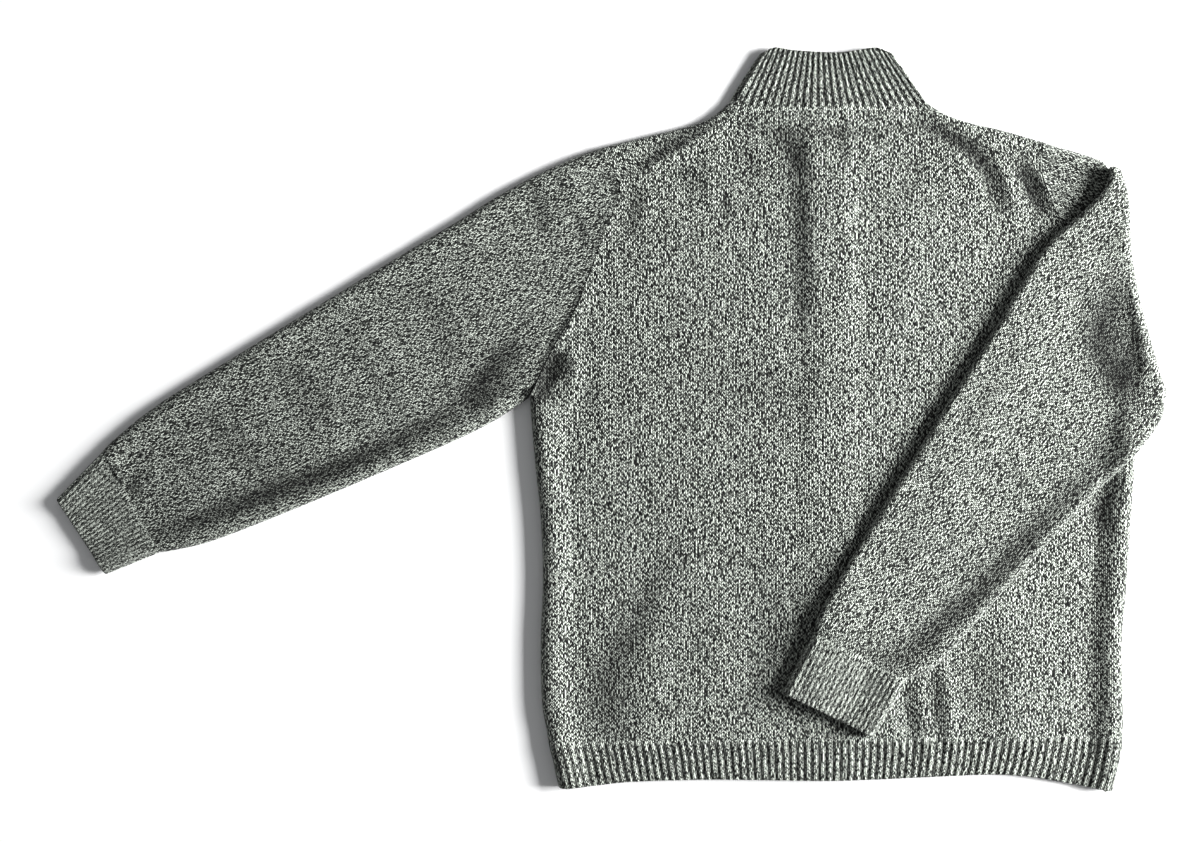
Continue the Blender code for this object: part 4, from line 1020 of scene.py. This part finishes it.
left_turn = collar_turn(LEFT, *COLLAR_TOP[:2])
right_turn = collar_turn(RIGHT, *COLLAR_TOP[:-3:-1])
start, end = left_turn[-1], right_turn[-1]
low_line = np.vstack([start[0][:2], spline(BACK_NECK) + (0, SEAM / 2), end[0][:2]])
high_line = spline([start[1][:2], *COLLAR_TOP[1:-1], end[1][:2]])
over = []
for base, top, share in zip(at(low_line, COLLAR_STEPS), at(high_line, COLLAR_STEPS), COLLAR_STEPS):
    z = FLOOR + 2 * roll(min(share, 1 - share) * run(low_line)[-1], SHOULDER_EDGE)
    over.append((np.array([*base, z]), np.array([*top, z]), UP, UP))
around = collar_floor(LEFT) + left_turn[:-1] + over + right_turn[::-1][1:] + collar_floor(RIGHT)[::-1]
bases, tops, low_faces, high_faces = [np.array([k[i] for k in around]) for i in range(4)]
length = run((bases + tops) / 2)
phase, where = rib_phases(length[-1], round(length[-1] / COLLAR_RIB))
bases, tops, low_faces, high_faces = [along(v, length, where) for v in (bases, tops, low_faces, high_faces)]
rows = []
for level in COLLAR_LEVELS:
    share = level / COLLAR_HEIGHT
    middle = (1 - share) * bases + share * tops
    facing = unit((1 - share) * low_faces + share * high_faces)
    near_seam = (1 - smooth_step(level, 0, COLLAR_FOLLOWS)) * smooth_step(facing[:, 2], 0.5, 1)
    middle[:, 2] += near_seam * forms(bases[:, 0], bases[:, 1] - 1)
    strength = smooth_step(level, *BAND_BEGINS)
    rows.append(rib_row(middle, facing, phase, level, strength, COLLAR_HEIGHT - level))
collar = cloth("collar", rib_finish, rows)

# %% [markdown]
# A sleeve is a tube that lies flattened. It is drawn as a chain of flattened rings, each with an upper
# wall, two rolled edges and a lower wall. Every ring also knows its line on the unfolded sleeve, so the
# wales run straight along the sleeve, round its edges and over the fold.

# %% Flattened rings
Ring = namedtuple("Ring", "line knit_line skew_a skew_b up bulge edge_a edge_b height")
SLEEVE_EDGES = (Edge(8.0, 4.0, 16.0), Edge(10.0, 4.6, 18.0))  # upper and lower
EDGE_TURN = [math.radians(a) for a in (0, 14, 28, 42, 56, 68, 80, 90)]
UPPER_START = len(EDGE_TURN) - 1  # the station where the upper wall begins
FLAT_STATIONS = 36
SLEEVE_WALE = 3.13  # the sleeves are knitted a little finer than the body
STATION_ROLL = [2.0, 4.5, 7.5, 11.0, 15.0, 19.0, 24.0]
SWITCH = 2 * (len(EDGE_TURN) + len(STATION_ROLL)) + FLAT_STATIONS - 3  # outermost station of the lower edge
MIN_CROSSING = 0.45  # sine of the least angle at which a ring's line is taken to cross an edge


def ring_stations(ring):
    """Stations round a ring: place along the line, height, outward direction along and up, extra half height,
    and how far the knitting goes on round a turned edge."""
    length = run(ring.line)[-1]
    start = (CLOTH / 2 + ring.edge_a.wide) * ring.skew_a
    end = length - (CLOTH / 2 + ring.edge_b.wide) * ring.skew_b

    def turned(angle, side):
        edge, skew = (ring.edge_a, ring.skew_a) if side < 0 else (ring.edge_b, ring.skew_b)
        reach = (CLOTH / 2 + edge.wide * (1 - math.cos(angle))) * skew
        return [reach if side < 0 else length - reach, edge.tall * math.sin(angle),
                side * math.cos(angle) * edge.tall * skew, edge.wide * math.sin(angle), edge.tall - SPREAD,
                side * turned_length(edge, angle)]

    def level(place, sign):
        half = roll((place - start) / ring.skew_a, ring.edge_a) - SPREAD
        half += roll((end - place) / ring.skew_b, ring.edge_b)
        return [place, sign * half, 0.0, sign, half - SPREAD, 0.0]

    rise = [start + d * ring.skew_a for d in STATION_ROLL]
    fall = [end - d * ring.skew_b for d in reversed(STATION_ROLL)]
    places = [*rise, *np.linspace(rise[-1], fall[0], FLAT_STATIONS)[1:-1], *fall]
    stations = [turned(a, -1) for a in EDGE_TURN] + [level(p, 1) for p in places]
    stations += [turned(a, 1) for a in reversed(EDGE_TURN)] + [turned(-a, 1) for a in EDGE_TURN[1:]]
    stations += [level(p, -1) for p in reversed(places)] + [turned(-a, -1) for a in reversed(EDGE_TURN[1:])]
    return np.array(stations), start, end


def ring_points(ring, knit_way):
    """Places, outward directions and knit places round one ring, for its upper and its lower wall. knit_way:
    the wales' direction."""
    stations, start, end = ring_stations(ring)
    length = run(ring.line)
    plan = along(ring.line, length, stations[:, 0])
    way = along(headings(ring.line), length, stations[:, 0])
    up = np.asarray(ring.up, float)
    lift = stations[:, 1] + ring.bulge * stations[:, 4]
    places = np.column_stack([plan, ring.height(plan)]) + lift[:, None] * up
    facing = unit(np.column_stack([way, np.zeros(len(way))]) * stations[:, 2:3] + stations[:, 3:4] * up)
    flat = at(ring.knit_line, np.clip(stations[:, 0], start, end) / length[-1])
    across = flat @ np.array([-knit_way[1], knit_way[0]])
    sign = -1 if across[UPPER_START] > across[UPPER_START + 5] else 1
    across = (across + sign * stations[:, 5]) * WALE / SLEEVE_WALE
    knit = np.column_stack([across, flat @ np.asarray(knit_way)])
    closed = np.vstack([knit, knit[:1]])
    return places, facing, closed, closed * np.array([-1.0, 1.0])


def skew(line_way, edge_way):
    """How much longer a slanted cut through an edge is than a square one."""
    crossing = abs(line_way[0] * edge_way[1] - line_way[1] * edge_way[0])
    return 1 / max(crossing, MIN_CROSSING)


def straight(a, b):
    """A straight line in plan between two points."""
    share = np.linspace(0, 1, LINE_POINTS)[:, None]
    return (1 - share) * np.asarray(a, float) + share * np.asarray(b, float)


def bow_of(curve):
    """How far a curve lies from the straight line between its ends."""
    points = at(curve, np.linspace(0, 1, LINE_POINTS))
    return points - straight(points[0], points[-1])


def halfway(plan):
    return np.full(len(plan), FLOOR + SPREAD)


def ring_between(a, b, bow, way_a, way_b, knit_line=None, up=(0, 0, 1), bulge=1.0, edges=SLEEVE_EDGES,
                 height=halfway):
    """A ring between two places on the sleeve's edges, which run in these ways. height: of its middle."""
    line = straight(a, b) + bow
    way = headings(line)
    flat = line if knit_line is None else knit_line
    return Ring(line, flat, skew(way[0], way_a), skew(way[-1], way_b), up, bulge, *edges, height)


print("stations round a ring:", 2 * SWITCH)

# %% [markdown]
# The left sleeve is stretched out. A long hollow runs inside its lower edge where the sleeve pulls towards
# the hand, and short dips lie beside the armhole.

# %% Left sleeve
LEFT_SHARES = np.unique(np.concatenate([np.linspace(0, 0.04, 8), np.linspace(0.04, 1, 118)]))
HOLE_FADE = 0.5  # where along it the armhole's curve has died away
ARMPIT_CLEARANCE = 3.0  # how far from the armpit the sleeves' lower edges start
LEFT_WAY = (-0.886, -0.464)  # the left sleeve's direction


def ends_at(share, upper_edge, lower_edge):
    """A ring's two ends, the last ones a seam's width short of the cuff."""
    back_off = SEAM / 2 if share == 1 else 0.0
    return [at(edge, share) - back_off * heading_at(edge, share) for edge in (upper_edge, lower_edge)]


upper_edge, lower_edge = spline(LEFT_UPPER_EDGE), spline(LEFT_LOWER_EDGE)
hole = aside(LEFT_HOLE, -SEAM / 2)
start_b = at(lower_edge, ARMPIT_CLEARANCE / run(lower_edge)[-1])
rows = []
for share in LEFT_SHARES:
    a, b = ends_at(share, upper_edge, lower_edge) if share else (hole[0], start_b)
    bow = (1 - smooth_step(share, 0, HOLE_FADE)) * bow_of(hole)
    ring = ring_between(a, b, bow, heading_at(upper_edge, share), heading_at(lower_edge, share))
    places, facing, knit, under = ring_points(ring, LEFT_WAY)
    on_top = np.clip((places[:, 2] - FLOOR) / (2 * SPREAD), 0, 1) * np.clip(facing[:, 2], 0, 1)
    x, y, z = places.T
    places[:, 2] += on_top * (above_floor(z + forms(x, y)) - z)
    # painted shade in the crease hollows, on the upper wall only
    rows.append(Row(places, facing, knit, on_top * painted_hollow_shade(x, y), lower=under))
sleeve_left = cloth("sleeve_left", jersey_finish, rows, ring=True, switch=SWITCH)

# %% [markdown]
# The right sleeve leaves its armhole flat, turns over in a round fold and comes back down over the body.
# What was its lower wall is then on top. The fold stands open at its upper corner, where the cloth springs
# up, and the sleeve rests on the back all the way down.

# %% Right sleeve
FOLD_RADIUS = 5.6  # radius of the middle between the sleeve's walls at the fold
MOUTH_RISE = 3.0  # how much more it is at the fold's upper corner
MOUTH_FADE = 0.14  # where along the folded part this has died away
RIGHT_SHARES = np.linspace(0, 1, 18)
FOLD_ANGLES = np.radians(np.linspace(0, 180, 15)[1:])
FOLDED_SHARES = np.linspace(0, 1, 112)[1:]
FOLD_FADE = 0.2  # where along it the fold's curve has died away
FOLDED_EDGES = (Edge(5.0, 4.8, 72.0), Edge(6.0, 5.6, 34.0))  # its puffed edges, left and right
FOLD_EDGES = (Edge(6.0, 3.6, 14.0), Edge(6.0, 3.6, 14.0))
FOLDED_WAY = np.array([-0.599, -0.800])
LIES_OVER = 0.5  # air between the folded sleeve and the cloth under it
BODY_REACH = 290  # the sleeve rests on the body up to this x
NEAR_FOLD = (-70, -15)  # from the fold's axis, where it rises to the fold's height
DEEPEST = -2.7  # where the upper wall would meet the lower one
FOLDED_WAVES = chance_waves(37)
FOLDED_CREASES = drawn([
    (-3.4, 18, 2, [(284, 510), (270, 482), (262, 452), (266, 424), (284, 390)]),
    (-3.0, 16, 2, [(298, 458), (294, 434), (290, 412), (284, 376)]),
    (3.4, 7, 2, [(296, 506), (298, 474), (303, 442), (308, 414), (300, 388)]),
    (2.0, 8, 2, [(262, 500), (252, 470), (244, 436)]),
    (1.4, 8, 2, [(300, 500), (296, 470), (312, 440)]),
    (-1.2, 8, 2, [(250, 546), (274, 540), (286, 530)]),
    (-2.8, 13, 2, [(294, 350), (254, 312), (206, 266), (152, 206), (120, 178), (80, 142),
                   (46, 112), (36, 84)]),
    (1.4, 26, 2, [(235, 500), (150, 370), (60, 230)]),
    (-0.9, 14, 2, [(180, 440), (140, 380), (120, 320)]),
    (-0.9, 12, 2, [(100, 300), (70, 250), (62, 210)]),
    (1.2, 10, 2, [(60, 180), (30, 150), (-10, 146)]),
    (-1.4, 9, 2, [(66, 128), (30, 132), (-6, 140)]),
])

fold_top, fold_low = np.array(FOLD_OUTSIDE[0], float), np.array(FOLD_OUTSIDE[-1], float)
fold_way = unit(fold_low - fold_top)
fold_out = np.array([-fold_way[1], fold_way[0]])  # square to the fold, away from the body
OUTER_RADIUS = FOLD_RADIUS + SPREAD + CLOTH / 2  # of the face that shows, whose stitches keep size
axis_a, axis_b = fold_top - OUTER_RADIUS * fold_out, fold_low - OUTER_RADIUS * fold_out


def unfolded(plan):
    """Where a place on the folded part lies when the sleeve is opened out."""
    off = (plan - axis_a) @ fold_out
    return plan + (math.pi * OUTER_RADIUS - 2 * off)[..., None] * fold_out


def resting(plan):
    """Middle between the walls of the folded sleeve, which lies on the back."""
    x, y = plan[:, 0], plan[:, 1]
    on_body = upper(np.minimum(x, BODY_REACH), y) + CLOTH + LIES_OVER + SPREAD
    near_fold = smooth_step((plan - axis_a) @ fold_out, *NEAR_FOLD)
    return on_body + near_fold * (np.maximum(FLOOR + SPREAD + 2 * FOLD_RADIUS, on_body) - on_body)


flat_way = FOLDED_WAY - 2 * (FOLDED_WAY @ fold_out) * fold_out
hole = aside(RIGHT_HOLE, SEAM / 2)
hole_bow, fold_bow = bow_of(hole), bow_of(spline(FOLD_OUTSIDE))
upper_edge = spline(RIGHT_UPPER_EDGE[:-1] + [tuple(axis_a)])
start_b = np.array(RIGHT_ARMHOLE[-1], float) + (ARMPIT_CLEARANCE, 0)
rings = []
for share in RIGHT_SHARES:
    a = at(upper_edge, share) if share else hole[0]
    b = (1 - share) * start_b + share * axis_b
    bow = (1 - share) ** 2 * hole_bow + share * fold_bow
    flat = straight(a, b) + (1 - share) ** 2 * hole_bow
    rings.append(ring_between(a, b, bow, heading_at(upper_edge, share), (1, 0), flat, edges=FOLD_EDGES))
for angle in FOLD_ANGLES:
    shift = FOLD_RADIUS * math.sin(angle) * fold_out
    flat = straight(axis_a, axis_b) + OUTER_RADIUS * angle * fold_out
    tilt = (*(-fold_out * math.sin(angle)), math.cos(angle))

    def fold_height(plan, angle=angle):
        share = np.clip((plan - axis_a) @ fold_way / np.linalg.norm(axis_b - axis_a), 0, 1)
        return FLOOR + SPREAD + (FOLD_RADIUS + MOUTH_RISE * (1 - share) ** 3) * (1 - math.cos(angle))

    rings.append(ring_between(axis_a + shift, axis_b + shift, fold_bow, fold_out, fold_out, flat, tilt,
                              math.cos(angle), FOLD_EDGES, fold_height))
folded_from = len(rings)
left_edge, right_edge = spline(FOLDED_LEFT_EDGE), spline(FOLDED_RIGHT_EDGE)
for share in FOLDED_SHARES:
    a, b = ends_at(share, left_edge, right_edge)
    settled = smooth_step(share, 0, FOLD_FADE)
    edges = [Edge(*[(1 - settled) * p + settled * q for p, q in zip(*pair)])
             for pair in zip(FOLD_EDGES, FOLDED_EDGES)]
    lifted = 2 * MOUTH_RISE * (1 - smooth_step(share, 0, MOUTH_FADE))

    def lying(plan, lifted=lifted, a=a, b=b):
        part = np.clip((plan - a) @ unit(b - a) / np.linalg.norm(b - a), 0, 1)
        return resting(plan) + lifted * (1 - part) ** 3

    rings.append(ring_between(a, b, (1 - settled) * fold_bow, heading_at(left_edge, share),
                              heading_at(right_edge, share), unfolded(straight(a, b)), (0, 0, -1), -1.0,
                              edges, lying))
rows = []
for k, ring in enumerate(rings):
    places, facing, knit, under = ring_points(ring, flat_way)
    x, y = places[:, 0], places[:, 1]
    on_top = np.clip(facing[:, 2], 0, 1)
    shade = 0.0
    if k >= folded_from:
        form, depth = creases(x, y, FOLDED_CREASES)
        places[:, 2] += on_top * np.maximum(form + uneven(x, y, FOLDED_WAVES), DEEPEST)
        # painted shade in the folded sleeve's crease hollows
        shade = np.clip(on_top * HOLLOW_PAINTED_SHADE * depth, 0, DARKEST)
    elif k < len(RIGHT_SHARES):
        # painted shade in the body's crease hollows, on the part that lies flat
        shade = on_top * painted_hollow_shade(x, y)
        places[:, 2] += on_top * (1 - k / len(RIGHT_SHARES)) * forms(x, y)
    rows.append(Row(places, facing, knit, shade, lower=under))
sleeve_right = cloth("sleeve_right", jersey_finish, rows, ring=True, switch=SWITCH)

# %% [markdown]
# The cuffs are ribbed tubes on the sleeves' ends. Their ribs are finer than the hem's, and the whole way
# round is divided evenly, as for the collar.

# %% Cuffs
CUFF_RIB = 5.15  # width of a rib on a cuff
CUFF_DEPTH = 0.62  # a cuff's ribs are stretched flatter than the hem's
CUFF_ROWS = [0, 1.5, 3, 5, 8, 12, 17, 22, 27, 32, 37, 42, 47, 51, 54, 56.2, 58, 59.0, 59.65, 60]
CUFF_LENGTH = 60.0


def make_cuff(name, start, end, turned, height, waves):
    """A ribbed cuff from the sleeve's end to its own edge. start, end: upper and lower corner."""
    start, end = np.array(start, float), np.array(end, float)
    ways = unit(end - start)
    start = start + SEAM / 2 * ways
    rows = []
    ribs = None
    for level in CUFF_ROWS:
        share = level / CUFF_LENGTH
        a, b = (1 - share) * start + share * end
        places, faces, _, _ = ring_points(ring_between(a, b, 0, *ways, edges=turned, height=height), ways[0])
        closed = np.vstack([places, places[:1]])
        length = run(closed)
        ribs = ribs or round(length[-1] / CUFF_RIB)
        phase, where = rib_phases(length[-1], ribs)
        middle = along(closed, length, where)[:-1]
        facing = unit(along(np.vstack([faces, faces[:1]]), length, where))[:-1]
        middle[:, 2] += np.clip(facing[:, 2], 0, 1) * uneven(middle[:, 0], middle[:, 1], waves)
        strength = smooth_step(level, *BAND_BEGINS) * CUFF_DEPTH
        rows.append(rib_row(middle, facing, phase, level, strength, CUFF_LENGTH - level))
    return cloth(name, rib_finish, rows, ring=True)


cuff_left = make_cuff("cuff_left", (LEFT_UPPER_EDGE[-1], LEFT_LOWER_EDGE[-1]), LEFT_CUFF_END, SLEEVE_EDGES,
                      halfway, BODY_WAVES)
cuff_right = make_cuff("cuff_right", (FOLDED_LEFT_EDGE[-1], FOLDED_RIGHT_EDGE[-1]), RIGHT_CUFF_END,
                       FOLDED_EDGES, resting, FOLDED_WAVES)

# %% [markdown]
# Last, each piece hangs from the garment's root, and the part of the plain model that it stands for is
# hidden. The table also lists the yarn it is knitted in, how large it was cut and how it is held, which
# nothing below reads. A sleeve's width goes all the way round, and a panel that isn't a rectangle has its
# area too.

# %% Pieces in place
PIECES = [  # piece, node, yarn, flat width and length, area, held
    (back, "back", "wool_jersey", 0.620, 0.640, 0.330, "laid"),
    (front_left, "front_left", "wool_jersey", 0.310, 0.640, 0.160, "laid"),
    (front_right, "front_right", "wool_jersey", 0.310, 0.640, 0.160, "laid"),
    (sleeve_left, "sleeve_left", "wool_jersey", 0.560, 0.560, 0.190, "laid"),
    (sleeve_right, "sleeve_right", "wool_jersey", 0.560, 0.560, 0.200, "folded"),
    (hem_back, "hem_back", "wool_rib", 0.580, 0.042, None, "laid"),
    (hem_front_left, "hem_front_left", "wool_rib", 0.290, 0.042, None, "laid"),
    (hem_front_right, "hem_front_right", "wool_rib", 0.290, 0.042, None, "laid"),
    (collar, "collar", "wool_rib", 0.420, 0.060, None, "laid"),
    (cuff_left, "cuff_left", "wool_rib", 0.210, 0.066, None, "laid"),
    (cuff_right, "cuff_right", "wool_rib", 0.210, 0.066, None, "folded"),
]
for piece, node, yarn, width, height, area, held in PIECES:
    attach(piece, "root")
    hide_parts(node)
